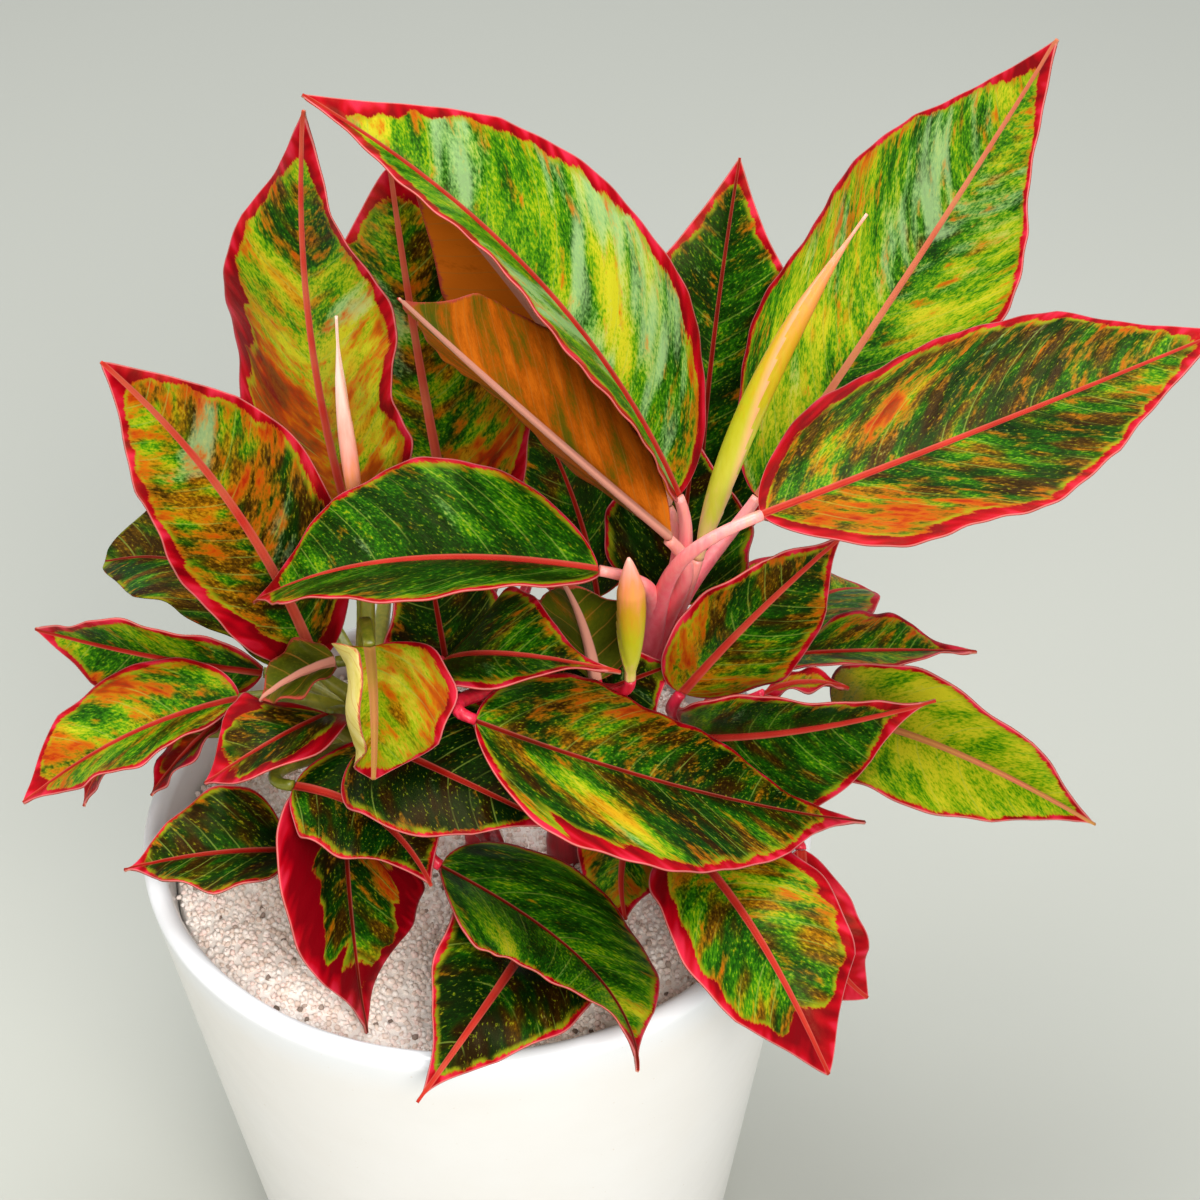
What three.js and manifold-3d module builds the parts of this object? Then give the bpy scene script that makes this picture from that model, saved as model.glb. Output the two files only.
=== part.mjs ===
// Potted Chinese evergreen: a tapered glazed planter filled with soil and pale granules,
// short canes that carry their leaf stalks, and every leaf blade as a solid of its own.
// Millimetres, +Z up. The origin is the centre of the planter's flat base and the side
// that is seen in front faces -Y.

import * as THREE from "three";
import Module from "manifold-3d";

const wasm = await Module();
wasm.setup();

// ---- driving dimensions -------------------------------------------------------------

const POT_HEIGHT = 200; // flat base to the top of the lip
const RIM_RADIUS = 115; // outside of the lip
const WALL_TAPER = 0.147; // radius lost per mm going down
const WALL_THICKNESS = 7.5;
const FLOOR_THICKNESS = 9;
const BASE_EDGE_ROUND = 5;
const POT_SIDES = 60;

const SOIL_TOP = 181;
const GRANULE_TOP = 186.5; // mean level of the granules
const GRANULE_RELIEF = 1.1; // how far one grain stands up or sinks
const GRANULE_RINGS = 9;
const GRANULE_SIDES = 40;

const SEAT_GAP = 0.3; // air between solids that touch on the real plant
const CANE_FOOT = 150; // level at which a cane ends in the soil
const CANE_RADIUS = 6.5;
const CANE_SIDES = 10;

const STALK_RADIUS = 3.4; // a stalk where it leaves its cane
const STALK_TIP_RADIUS = 1.9; // a stalk where its blade begins
const STALK_SIDES = 6;
const STALK_STEPS = 5;

const EDGE_THICKNESS = 0.8; // a blade at its margin
const RIB_AT_BASE = 2.4; // a blade through its midrib, at the stalk
const RIB_AT_TIP = 1.0;
const BLADE_STEPS = [0, 0.03, 0.1, 0.2, 0.32, 0.45, 0.58, 0.7, 0.82, 0.92, 1];
const SMALL_BLADE_STEPS = [0, 0.04, 0.15, 0.3, 0.48, 0.66, 0.84, 1];
const BLADE_COLUMNS = [-1, -0.55, 0, 0.55, 1];

// ---- materials ----------------------------------------------------------------------

const glaze = new THREE.MeshStandardMaterial({ color: 0xf3efe8, roughness: 0.2 });
const earth = new THREE.MeshStandardMaterial({ color: 0x3a2a1e, roughness: 0.95 });
const granules = new THREE.MeshStandardMaterial({ color: 0xe9d9cf, roughness: 0.85 });
const caneSkin = new THREE.MeshStandardMaterial({ color: 0xe07f7a, roughness: 0.5 });
const leafSkin = new THREE.MeshStandardMaterial({ color: 0x4f6b1c, roughness: 0.4 });
const youngLeafSkin = new THREE.MeshStandardMaterial({ color: 0xb9b54a, roughness: 0.4 });

const group = new THREE.Group();
group.name = "potted_chinese_evergreen";

function addMesh(name, geometry, material) {
  const mesh = new THREE.Mesh(geometry, material);
  mesh.name = name;
  group.add(mesh);
}

// ---- solids and booleans ------------------------------------------------------------

// Makes a closed solid from a list of [x, y, z] points and a list of triangles.
function solidFrom(points, triangles) {
  const mesh = new wasm.Mesh({
    numProp: 3,
    vertProperties: new Float32Array(points.flat()),
    triVerts: new Uint32Array(triangles.flat()),
  });
  return new wasm.Manifold(mesh);
}

function geometryFrom(solid) {
  const mesh = solid.getMesh();
  const geometry = new THREE.BufferGeometry();
  const positions = new THREE.BufferAttribute(new Float32Array(mesh.vertProperties), 3);
  geometry.setAttribute("position", positions);
  geometry.setIndex(new THREE.BufferAttribute(new Uint32Array(mesh.triVerts), 1));
  geometry.computeVertexNormals();
  return geometry;
}

// Joins rings with the same number of points into one closed body. The rings run
// anticlockwise when seen from the last ring. lowerFrom is the index of the ring edge
// from which the diagonals are turned round, so that both faces of a blade split alike.
function loft(rings, lowerFrom = Infinity) {
  const count = rings[0].length;
  const points = rings.flat();
  const triangles = [];
  for (let r = 0; r < rings.length - 1; r += 1) {
    for (let k = 0; k < count; k += 1) {
      const a = r * count + k;
      const b = r * count + ((k + 1) % count);
      const c = a + count;
      const d = b + count;
      if (k < lowerFrom) {
        triangles.push([a, b, d], [a, d, c]);
      } else {
        triangles.push([a, b, c], [b, d, c]);
      }
    }
  }
  const last = (rings.length - 1) * count;
  for (let k = 1; k < count - 1; k += 1) {
    triangles.push([0, k + 1, k]);
    triangles.push([last, last + k, last + k + 1]);
  }
  return solidFrom(points, triangles);
}

// A round body about the Z axis from a profile of [radius, z] points, which starts and
// ends on the axis and runs from the bottom to the top along the outside.
function turned(profile, sides) {
  const points = [];
  const triangles = [];
  const inner = profile.slice(1, -1);
  points.push([0, 0, profile[0][1]]);
  for (const [radius, z] of inner) {
    for (let k = 0; k < sides; k += 1) {
      const angle = (2 * Math.PI * k) / sides;
      points.push([radius * Math.cos(angle), radius * Math.sin(angle), z]);
    }
  }
  points.push([0, 0, profile[profile.length - 1][1]]);
  const top = points.length - 1;
  const lastRing = 1 + (inner.length - 1) * sides;
  for (let k = 0; k < sides; k += 1) {
    const next = (k + 1) % sides;
    triangles.push([0, 1 + next, 1 + k]);
    triangles.push([top, lastRing + k, lastRing + next]);
    for (let r = 0; r < inner.length - 1; r += 1) {
      const a = 1 + r * sides + k;
      const b = 1 + r * sides + next;
      triangles.push([a, b, b + sides], [a, b + sides, a + sides]);
    }
  }
  return solidFrom(points, triangles);
}

// ---- small vector helpers -----------------------------------------------------------

const vec = (p) => new THREE.Vector3(p[0], p[1], p[2]);
const UP = new THREE.Vector3(0, 0, 1);
const radians = (degrees) => (degrees * Math.PI) / 180;
const mix = (a, b, t) => a + (b - a) * t;

// ---- planter ------------------------------------------------------------------------

// Inside radius of the planter at a level z.
function innerRadius(z) {
  return RIM_RADIUS - WALL_THICKNESS - WALL_TAPER * (POT_HEIGHT - z);
}

function planter() {
  const baseRadius = RIM_RADIUS - WALL_TAPER * POT_HEIGHT;
  const lipRadius = WALL_THICKNESS / 2;
  const lipLevel = POT_HEIGHT - lipRadius;
  const profile = [[0, 0]];
  profile.push([baseRadius - BASE_EDGE_ROUND, 0]);
  profile.push([baseRadius - 0.25 * BASE_EDGE_ROUND, 0.3 * BASE_EDGE_ROUND]);
  profile.push([baseRadius + WALL_TAPER * BASE_EDGE_ROUND, BASE_EDGE_ROUND]);
  for (let k = 0; k <= 6; k += 1) {
    const angle = (Math.PI * k) / 6;
    const radius = RIM_RADIUS - lipRadius + lipRadius * Math.cos(angle);
    profile.push([radius, lipLevel + lipRadius * Math.sin(angle)]);
  }
  profile.push([innerRadius(FLOOR_THICKNESS), FLOOR_THICKNESS]);
  profile.push([0, FLOOR_THICKNESS]);
  return turned(profile, POT_SIDES);
}

// ---- canes and the holes they stand in ----------------------------------------------

// Each cane is vertical where it stands in the soil and then leans to its crown.
const CANES = {
  right: { foot: [44, 24], crown: [68, 18, 262] },
  left: { foot: [-26, 6], crown: [-36, 8, 240] },
  front: { foot: [2, -14], crown: [2, -18, 236] },
  side: { foot: [72, 2], crown: [72, 16, 228] },
  middle: { foot: [30, -8], crown: [38, -6, 256] },
  back: { foot: [4, 44], crown: [0, 52, 252] },
};

function ring(centre, side, across, radius, sides) {
  const points = [];
  for (let k = 0; k < sides; k += 1) {
    const angle = (2 * Math.PI * k) / sides;
    const p = centre.clone();
    p.addScaledVector(side, radius * Math.cos(angle));
    p.addScaledVector(across, radius * Math.sin(angle));
    points.push(p.toArray());
  }
  return points;
}

// A tapering round tube along a curve.
function tube(curve, radiusAt, steps, sides) {
  const rings = [];
  let side = null;
  for (let i = 0; i <= steps; i += 1) {
    const t = i / steps;
    const centre = curve.getPoint(t);
    const along = curve.getTangent(t);
    const guide = side ?? (Math.abs(along.z) < 0.9 ? UP : new THREE.Vector3(1, 0, 0));
    const across = along.clone().cross(guide).normalize();
    side = across.clone().cross(along).normalize();
    rings.push(ring(centre, side, across, radiusAt(t), sides));
  }
  return loft(rings);
}

function caneCurve({ foot, crown }) {
  const low = new THREE.Vector3(foot[0], foot[1], SOIL_TOP + 10);
  const bend = new THREE.Vector3(foot[0], foot[1], mix(SOIL_TOP, crown[2], 0.55));
  return new THREE.QuadraticBezierCurve3(low, bend, vec(crown));
}

function caneBody(cane) {
  const rings = [];
  const x = new THREE.Vector3(1, 0, 0);
  const y = new THREE.Vector3(0, 1, 0);
  const foot = (z, radius) => {
    const centre = new THREE.Vector3(cane.foot[0], cane.foot[1], z);
    return ring(centre, x, y, radius, CANE_SIDES);
  };
  rings.push(foot(CANE_FOOT, CANE_RADIUS), foot(SOIL_TOP + 10, CANE_RADIUS));
  const curve = caneCurve(cane);
  for (const t of [0.35, 0.7, 1]) {
    rings.push(ring(curve.getPoint(t), x, y, mix(CANE_RADIUS, 4, t), CANE_SIDES));
  }
  return loft(rings);
}

function caneHoles(bottom) {
  const x = new THREE.Vector3(1, 0, 0);
  const y = new THREE.Vector3(0, 1, 0);
  const radius = (CANE_RADIUS + SEAT_GAP) / Math.cos(Math.PI / CANE_SIDES);
  let holes = null;
  for (const cane of Object.values(CANES)) {
    const low = new THREE.Vector3(cane.foot[0], cane.foot[1], bottom);
    const high = new THREE.Vector3(cane.foot[0], cane.foot[1], POT_HEIGHT);
    const hole = loft([ring(low, x, y, radius, CANE_SIDES), ring(high, x, y, radius, CANE_SIDES)]);
    holes = holes ? holes.add(hole) : hole;
  }
  return holes;
}

// ---- soil and granules --------------------------------------------------------------

function soil() {
  const bottom = FLOOR_THICKNESS + SEAT_GAP;
  const profile = [
    [0, bottom],
    [innerRadius(bottom) - SEAT_GAP, bottom],
    [innerRadius(SOIL_TOP) - SEAT_GAP, SOIL_TOP],
    [0, SOIL_TOP],
  ];
  return turned(profile, POT_SIDES).subtract(caneHoles(CANE_FOOT - SEAT_GAP));
}

// A repeatable random number from 0 to 1 for a whole number.
function seeded(number) {
  const s = Math.sin(number * 127.1 + 311.7) * 43758.5453;
  return s - Math.floor(s);
}

// The granules are one layer whose top rises and sinks grain by grain.
function granuleLayer() {
  const bottom = SOIL_TOP + SEAT_GAP;
  const outer = innerRadius(bottom) - SEAT_GAP;
  const points = [[0, 0, bottom], [0, 0, GRANULE_TOP]];
  const triangles = [];
  const ringStart = (r) => 2 + r * GRANULE_SIDES;
  for (let r = 0; r <= GRANULE_RINGS; r += 1) {
    for (let k = 0; k < GRANULE_SIDES; k += 1) {
      const angle = (2 * Math.PI * (k + 0.5 * (r % 2))) / GRANULE_SIDES;
      const isFoot = r === GRANULE_RINGS;
      const radius = isFoot ? outer : (outer * (r + 1)) / GRANULE_RINGS;
      const lift = GRANULE_RELIEF * (2 * seeded(r * GRANULE_SIDES + k) - 1);
      const z = isFoot ? bottom : GRANULE_TOP + lift;
      points.push([radius * Math.cos(angle), radius * Math.sin(angle), z]);
    }
  }
  for (let k = 0; k < GRANULE_SIDES; k += 1) {
    const next = (k + 1) % GRANULE_SIDES;
    triangles.push([1, ringStart(0) + k, ringStart(0) + next]);
    triangles.push([0, ringStart(GRANULE_RINGS) + next, ringStart(GRANULE_RINGS) + k]);
    for (let r = 0; r < GRANULE_RINGS; r += 1) {
      const a = ringStart(r) + k;
      const b = ringStart(r) + next;
      const c = ringStart(r + 1) + k;
      const d = ringStart(r + 1) + next;
      if (r % 2 === 0) {
        triangles.push([a, c, b], [b, c, d]);
      } else {
        triangles.push([a, d, b], [a, c, d]);
      }
    }
  }
  return solidFrom(points, triangles).subtract(caneHoles(SOIL_TOP));
}

// ---- leaf blades --------------------------------------------------------------------

// How wide a blade is at t (0 at the stalk, 1 at the tip) as a share of its full width:
// a rounded base, the widest place at peak and a drawn-out tip.
function bladeShare(t, peak) {
  const rise = 0.62;
  const fall = (rise * (1 - peak)) / peak;
  const tail = Math.max(0, (t - 0.72) / 0.28);
  return (t / peak) ** rise * ((1 - t) / (1 - peak)) ** fall * (1 - 0.55 * tail);
}

// The midrib is a quadratic curve from base to tip whose middle stands arch mm off the
// chord on the upper side and sway mm to the right. roll lifts the right margin.
function bladeFrame(leaf) {
  const base = vec(leaf.base);
  const tip = vec(leaf.tip);
  const chord = tip.clone().sub(base).normalize();
  const level = chord.clone().cross(UP).normalize();
  const lifted = level.clone().cross(chord);
  const turn = radians(leaf.roll ?? 0);
  const right = level.clone().multiplyScalar(Math.cos(turn));
  right.addScaledVector(lifted, Math.sin(turn));
  const upper = lifted.clone().multiplyScalar(Math.cos(turn));
  upper.addScaledVector(level, -Math.sin(turn));
  const middle = base.clone().add(tip).multiplyScalar(0.5);
  middle.addScaledVector(upper, 2 * (leaf.arch ?? 0));
  middle.addScaledVector(right, 2 * (leaf.sway ?? 0));
  return { curve: new THREE.QuadraticBezierCurve3(base, middle, tip), upper };
}

// One blade: at each step along the midrib a ring of points goes over the upper face and
// back under it. A fold is how steeply a half rises from the midrib, and the curl how far
// the right half turns on from there to its margin, along an arc that opens at both ends.
function blade(leaf) {
  const { curve, upper } = bladeFrame(leaf);
  const length = vec(leaf.base).distanceTo(vec(leaf.tip));
  const steps = length > 90 ? BLADE_STEPS : SMALL_BLADE_STEPS;
  const rings = [];
  for (const t of steps) {
    const along = curve.getTangent(t);
    const normal = upper.clone().addScaledVector(along, -upper.dot(along)).normalize();
    const right = along.clone().cross(normal);
    const centre = curve.getPoint(t);
    if (t === 0) centre.addScaledVector(along, SEAT_GAP);
    const half = Math.max((leaf.wide / 2) * bladeShare(t, leaf.peak ?? 0.4), t < 0.5 ? 1.5 : 0.5);
    const rib = mix(RIB_AT_BASE, RIB_AT_TIP, t);
    const point = (v, under) => {
      const side = Math.sign(v);
      const rise = side === 0 ? 0 : radians((side > 0 ? leaf.foldRight : leaf.foldLeft) ?? 14);
      const fade = Math.min(1, 4 * t, 4 * (1 - t));
      const turn = radians(side > 0 ? leaf.curlRight ?? 0 : 0) * Math.abs(v) * fade;
      const chord = turn === 0 ? 1 : Math.sin(turn / 2) / (turn / 2);
      const reach = half * Math.abs(v) * chord;
      const bulge = 0.12 * half * (Math.abs(v) - v * v);
      const swing = Math.sin(2 * Math.PI * (2.5 * t + 0.3 * side));
      const wave = (leaf.wave ?? 1.2) * swing * v * v * Math.min(1, 6 * t, 5 * (1 - t));
      const face = normal.clone().multiplyScalar(Math.cos(rise + turn));
      face.addScaledVector(right, -side * Math.sin(rise + turn));
      const depth = under * mix(rib, EDGE_THICKNESS, Math.min(1, 1.6 * Math.abs(v)));
      const p = centre.clone();
      p.addScaledVector(right, side * reach * Math.cos(rise + turn / 2));
      p.addScaledVector(normal, reach * Math.sin(rise + turn / 2));
      p.addScaledVector(face, bulge + wave - depth);
      return p.toArray();
    };
    const over = BLADE_COLUMNS.map((v) => point(v, 0));
    const below = [...BLADE_COLUMNS].reverse().map((v) => point(v, 1));
    rings.push([...below, ...over]);
  }
  return loft(rings, BLADE_COLUMNS.length - 1);
}

// ---- the plant ----------------------------------------------------------------------

// One row a blade. cane and from say where its stalk starts (from is the share of the
// cane's height), lift and ease shape the stalk. base and tip are the ends of the midrib.
// wide is the full width in mm, peak the place of the widest point. arch and sway bend
// the midrib, roll turns the blade about it, and folds and curls are in degrees.
const LEAVES = [
  // right crown: tall blades over the middle of the plant
  { name: "leaf_right_1", cane: "right", from: 1, base: [70, 21, 317], tip: [-42, 49, 450],
    wide: 81, peak: 0.43, arch: 16, sway: 7, roll: 28, foldRight: 7, foldLeft: 52 },
  { name: "leaf_right_2", cane: "right", from: 0.9, base: [66, 0, 316], tip: [-10, -48, 438],
    wide: 64, peak: 0.38, arch: 10, sway: -6, roll: -125, foldRight: 120, foldLeft: 4 },
  { name: "leaf_right_3", cane: "right", from: 0.9, base: [98, 55, 291], tip: [192, 93, 440],
    wide: 101, peak: 0.41, arch: -8, sway: -6, roll: -4, foldRight: 2, foldLeft: 4 },
  { name: "leaf_right_4", cane: "right", from: 0.8, base: [94, -20, 340], tip: [234, 6, 386],
    wide: 88, peak: 0.45, arch: -6, sway: -6, roll: -2, foldRight: 3, foldLeft: 5 },
  { name: "leaf_right_5", cane: "right", from: 0.7, base: [79, 99, 233], tip: [96, 145, 371],
    wide: 68, peak: 0.42, arch: 7, sway: -2, roll: -15, foldRight: 10, foldLeft: 16 },
  { name: "leaf_right_6", cane: "side", from: 0.9, base: [70, -3, 254], tip: [122, 7, 310],
    wide: 49, peak: 0.4, arch: 2, sway: -3, roll: -86, foldRight: 4, foldLeft: 16 },
  { name: "leaf_right_7", cane: "right", from: 0.9, base: [44, -15, 316], tip: [-69, 6, 290],
    wide: 70, peak: 0.42, arch: 19, sway: -11, roll: 0, foldRight: 29, foldLeft: 18 },
  { name: "leaf_right_8", cane: "right", from: 0.8, base: [67, 34, 303], tip: [-12, 62, 417],
    wide: 44, peak: 0.5, arch: 10, sway: -4, roll: -128, foldRight: 10, foldLeft: 10 },
  { name: "leaf_right_9", cane: "right", from: 0.7, base: [70, 62, 240], tip: [78, 84, 296],
    wide: 56 },
  // back crown: upright blades behind
  { name: "leaf_back_1", cane: "back", from: 1, base: [-6, 66, 265], tip: [-21, 91, 401],
    wide: 75, peak: 0.5, arch: 10, sway: 0, roll: 32 },
  { name: "leaf_back_2", cane: "back", from: 0.9, base: [43, 68, 238], tip: [19, 94, 310],
    wide: 60, peak: 0.4, arch: 7 },
  { name: "leaf_left_1", cane: "left", from: 1, base: [-38, 38, 294], tip: [-44, 63, 437],
    wide: 73, peak: 0.38, arch: 0, sway: -8, roll: 47, foldRight: 3, foldLeft: 0, wave: 4 },
  { name: "leaf_back_3", cane: "back", from: 0.7, base: [18, 82, 236], tip: [34, 154, 240],
    wide: 56, arch: 12 },
  { name: "leaf_back_4", cane: "back", from: 0.7, base: [-18, 84, 245], tip: [-44, 158, 250],
    wide: 58, arch: 14 },
  { name: "leaf_back_5", cane: "right", from: 0.6, base: [92, 56, 214], tip: [146, 112, 204],
    wide: 54, arch: 12 },
  { name: "leaf_back_6", cane: "left", from: 0.6, base: [-56, 64, 245], tip: [-112, 118, 260],
    wide: 54, arch: 14 },
  { name: "leaf_back_7", cane: "back", from: 1, base: [-8, 84, 265], tip: [-18, 138, 312],
    wide: 50, arch: 10 },
  { name: "leaf_back_8", cane: "back", from: 0.9, base: [20, 96, 262], tip: [30, 148, 328],
    wide: 38, arch: 8 },
  { name: "leaf_back_9", cane: "left", from: 0.9, base: [-34, 82, 258], tip: [-64, 122, 322],
    wide: 44, arch: 8 },
  // left crown
  { name: "leaf_left_2", cane: "left", from: 1, base: [-52, 14, 256], tip: [-110, 26, 371],
    wide: 59, peak: 0.45, arch: 3, sway: 7, roll: 40, foldRight: 17, foldLeft: 13 },
  { name: "leaf_left_3", cane: "left", from: 0.9, base: [-64, 38, 235], tip: [-129, 67, 261],
    wide: 54, peak: 0.62, arch: 17, sway: 7, roll: 11, foldRight: 21, foldLeft: 21 },
  { name: "leaf_left_4", cane: "left", from: 0.8, base: [-72, 27, 242], tip: [-151, 41, 252],
    wide: 38, peak: 0.43, arch: 6, sway: 2, roll: 81, foldRight: 27, foldLeft: 14 },
  { name: "leaf_left_5", cane: "left", from: 0.8, base: [-77, 3, 251], tip: [-151, -15, 223],
    wide: 53, peak: 0.46, arch: 2, sway: 6, roll: -3, foldRight: 17, foldLeft: 16 },
  { name: "leaf_left_6", cane: "left", from: 0.9, base: [-42, -9, 276], tip: [-68, -13, 264],
    wide: 28, peak: 0.42, arch: 2 },
  { name: "leaf_left_7", cane: "left", from: 0.7, base: [-46, -10, 255], tip: [-85, -37, 250],
    wide: 49, peak: 0.44, arch: 6, sway: -6, roll: -9, foldRight: 11, foldLeft: 14 },
  { name: "leaf_left_8", cane: "left", from: 0.4, base: [-60, -41, 223], tip: [-114, -44, 219],
    wide: 48, peak: 0.33, arch: 4, sway: -1, roll: 4, foldRight: 20, foldLeft: 19 },
  { name: "leaf_left_9", cane: "left", from: 0.6, base: [-41, -33, 237], tip: [-34, -89, 187],
    wide: 63, peak: 0.33, arch: 12, sway: 12, roll: 41, foldRight: 5, foldLeft: 1 },
  { name: "leaf_left_10", cane: "left", from: 0.6, base: [-55, -46, 256], tip: [-10, -87, 251],
    wide: 44, peak: 0.38, arch: 2, sway: -7, roll: -7, foldRight: 11, foldLeft: 14 },
  { name: "leaf_left_11", cane: "left", from: 0.5, base: [-102, 19, 222], tip: [-136, 3, 204],
    wide: 25, peak: 0.42, arch: 8, sway: 1, roll: -12 },
  { name: "leaf_left_12", cane: "left", from: 0.5, base: [-84, 2, 243], tip: [-108, -15, 225],
    wide: 21, peak: 0.42, arch: 2, sway: -1, roll: -17 },
  { name: "young_leaf_left", cane: "left", from: 1, base: [-28, -34, 303], tip: [-27, -66, 276],
    wide: 55, peak: 0.45, arch: 6, sway: 0, roll: 12, foldRight: 10, foldLeft: 36, curlRight: 125 },
  // front crown
  { name: "leaf_front_1", cane: "middle", from: 1, base: [5, -62, 296], tip: [129, -39, 228],
    wide: 84, peak: 0.31, arch: 2, sway: 8, roll: -6, foldRight: 3, foldLeft: -5, lift: 0.55, ease: 0.3 },
  { name: "leaf_front_2", cane: "front", from: 1, base: [-8, -10, 276], tip: [50, -37, 293],
    wide: 56, peak: 0.31, arch: 13, sway: 10, roll: -2 },
  { name: "leaf_front_3", cane: "front", from: 0.9, base: [-30, -38, 268], tip: [31, -79, 266],
    wide: 52, peak: 0.35, arch: 13, sway: 3, roll: -26, foldLeft: 4, lift: 0.2 },
  { name: "leaf_front_4", cane: "front", from: 0.8, base: [-9, -60, 233], tip: [52, -142, 227],
    wide: 74, peak: 0.25, arch: -2, sway: -25, roll: 31, foldRight: 1, foldLeft: 8 },
  { name: "leaf_front_5", cane: "front", from: 0.4, base: [17, -65, 200], tip: [-16, -127, 197],
    wide: 58, peak: 0.31, arch: 16, sway: 1, roll: 30, foldRight: 21, foldLeft: 26 },
  { name: "leaf_front_6", cane: "middle", from: 0.4, base: [57, -24, 226], tip: [50, -46, 192],
    wide: 31, peak: 0.42, arch: 4, sway: 3, roll: -4 },
  { name: "leaf_front_7", cane: "middle", from: 0.8, base: [42, -9, 266], tip: [33, -6, 304],
    wide: 34, peak: 0.5, arch: 3, roll: -85 },
  { name: "leaf_front_8", cane: "front", from: 0.7, base: [-8, 22, 238], tip: [-14, 34, 292],
    wide: 44 },
  { name: "leaf_front_9", cane: "middle", from: 0.5, base: [26, 6, 240], tip: [68, -2, 266],
    wide: 40, roll: -75 },
  // right side, low
  { name: "leaf_side_1", cane: "side", from: 0.9, base: [75, -1, 233], tip: [151, -26, 268],
    wide: 62, peak: 0.3, arch: 7, sway: -1, roll: -86, foldRight: 17, foldLeft: 33 },
  { name: "leaf_side_2", cane: "side", from: 0.8, base: [124, 18, 224], tip: [205, -37, 222],
    wide: 58, peak: 0.39, arch: 23, sway: -7, roll: -52, foldRight: 47, foldLeft: 41 },
  { name: "leaf_side_3", cane: "side", from: 0.8, base: [108, 37, 236], tip: [172, 25, 246],
    wide: 39, peak: 0.36, arch: 8, sway: 10, roll: 5, foldRight: 19, foldLeft: 13 },
  { name: "leaf_side_4", cane: "side", from: 0.9, base: [98, 4, 247], tip: [126, -1, 253],
    wide: 12, peak: 0.42, arch: 4 },
  { name: "leaf_side_5", cane: "middle", from: 0.5, base: [70, -51, 230], tip: [111, -124, 202],
    wide: 57, peak: 0.47, arch: 19, sway: 3, roll: -3, foldRight: 17, foldLeft: 7 },
  { name: "leaf_side_6", cane: "middle", from: 0.3, base: [108, -41, 218], tip: [130, -64, 171],
    wide: 29, peak: 0.48, arch: 7, sway: 8, roll: -21, lift: 0, ease: 0.1 },
];

// Young leaves that are still rolled into a spear.
const SPEARS = [
  { name: "spear_right", cane: "right", from: 1, base: [76, 14, 297],
    middle: [92, 18, 366], tip: [128, 34, 413], radius: 4.6, peak: 0.38 },
  { name: "spear_left", cane: "left", from: 1, base: [-34, 28, 300],
    middle: [-38, 32, 340], tip: [-37, 40, 377], radius: 2.8, peak: 0.35 },
  { name: "spear_middle", cane: "middle", from: 1, base: [53, -20, 275],
    middle: [54, -22, 303], tip: [53, -26, 329], radius: 4.8, peak: 0.6 },
];

function spearCurve(young, start = vec(young.base)) {
  return new THREE.QuadraticBezierCurve3(start, vec(young.middle), vec(young.tip));
}

// A spear swells from the stalk's width, then draws out to a point.
function spear(young) {
  const heading = spearCurve(young).getTangent(0);
  const start = vec(young.base).addScaledVector(heading, SEAT_GAP);
  const swell = (t) => young.radius * bladeShare(t, young.peak);
  const radiusAt = (t) => Math.max(t < 0.5 ? STALK_TIP_RADIUS : 0.5, swell(t));
  return tube(spearCurve(young, start), radiusAt, 9, 8);
}

// A stalk leaves its cane outwards and upwards and ends in line with its blade's midrib.
function stalk(leaf) {
  const root = caneCurve(CANES[leaf.cane]).getPoint(Math.max(0, Math.min(1, leaf.from) - 0.02));
  const end = vec(leaf.base);
  const reach = root.distanceTo(end);
  const heading = (leaf.middle ? spearCurve(leaf) : bladeFrame(leaf).curve).getTangent(0);
  const outward = end.clone().sub(root).normalize().addScaledVector(UP, leaf.lift ?? 1).normalize();
  const first = root.clone().addScaledVector(outward, 0.4 * reach);
  const second = end.clone().addScaledVector(heading, -(leaf.ease ?? 0.35) * reach);
  const curve = new THREE.CubicBezierCurve3(root, first, second, end);
  return tube(curve, (t) => mix(STALK_RADIUS, STALK_TIP_RADIUS, t), STALK_STEPS, STALK_SIDES);
}

addMesh("planter", geometryFrom(planter()), glaze);
addMesh("soil", geometryFrom(soil()), earth);
addMesh("top_dressing", geometryFrom(granuleLayer()), granules);

for (const [name, cane] of Object.entries(CANES)) {
  let body = caneBody(cane);
  for (const leaf of [...LEAVES, ...SPEARS].filter((l) => l.cane === name)) {
    body = body.add(stalk(leaf));
  }
  addMesh(`stem_${name}`, geometryFrom(body), caneSkin);
}

for (const leaf of LEAVES) {
  addMesh(leaf.name, geometryFrom(blade(leaf)), leafSkin);
}

for (const young of SPEARS) {
  addMesh(young.name, geometryFrom(spear(young)), youngLeafSkin);
}

export default group;
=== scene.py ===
"""Looks of a potted Chinese evergreen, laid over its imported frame.

Shapes are worked out in millimetres, +Z up, with the origin at the centre of the planter's
base, and go into the meshes in metres. The side that is seen in front faces -Y.
"""

from functools import partial

import bpy
import numpy as np
from mathutils import Matrix


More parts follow.
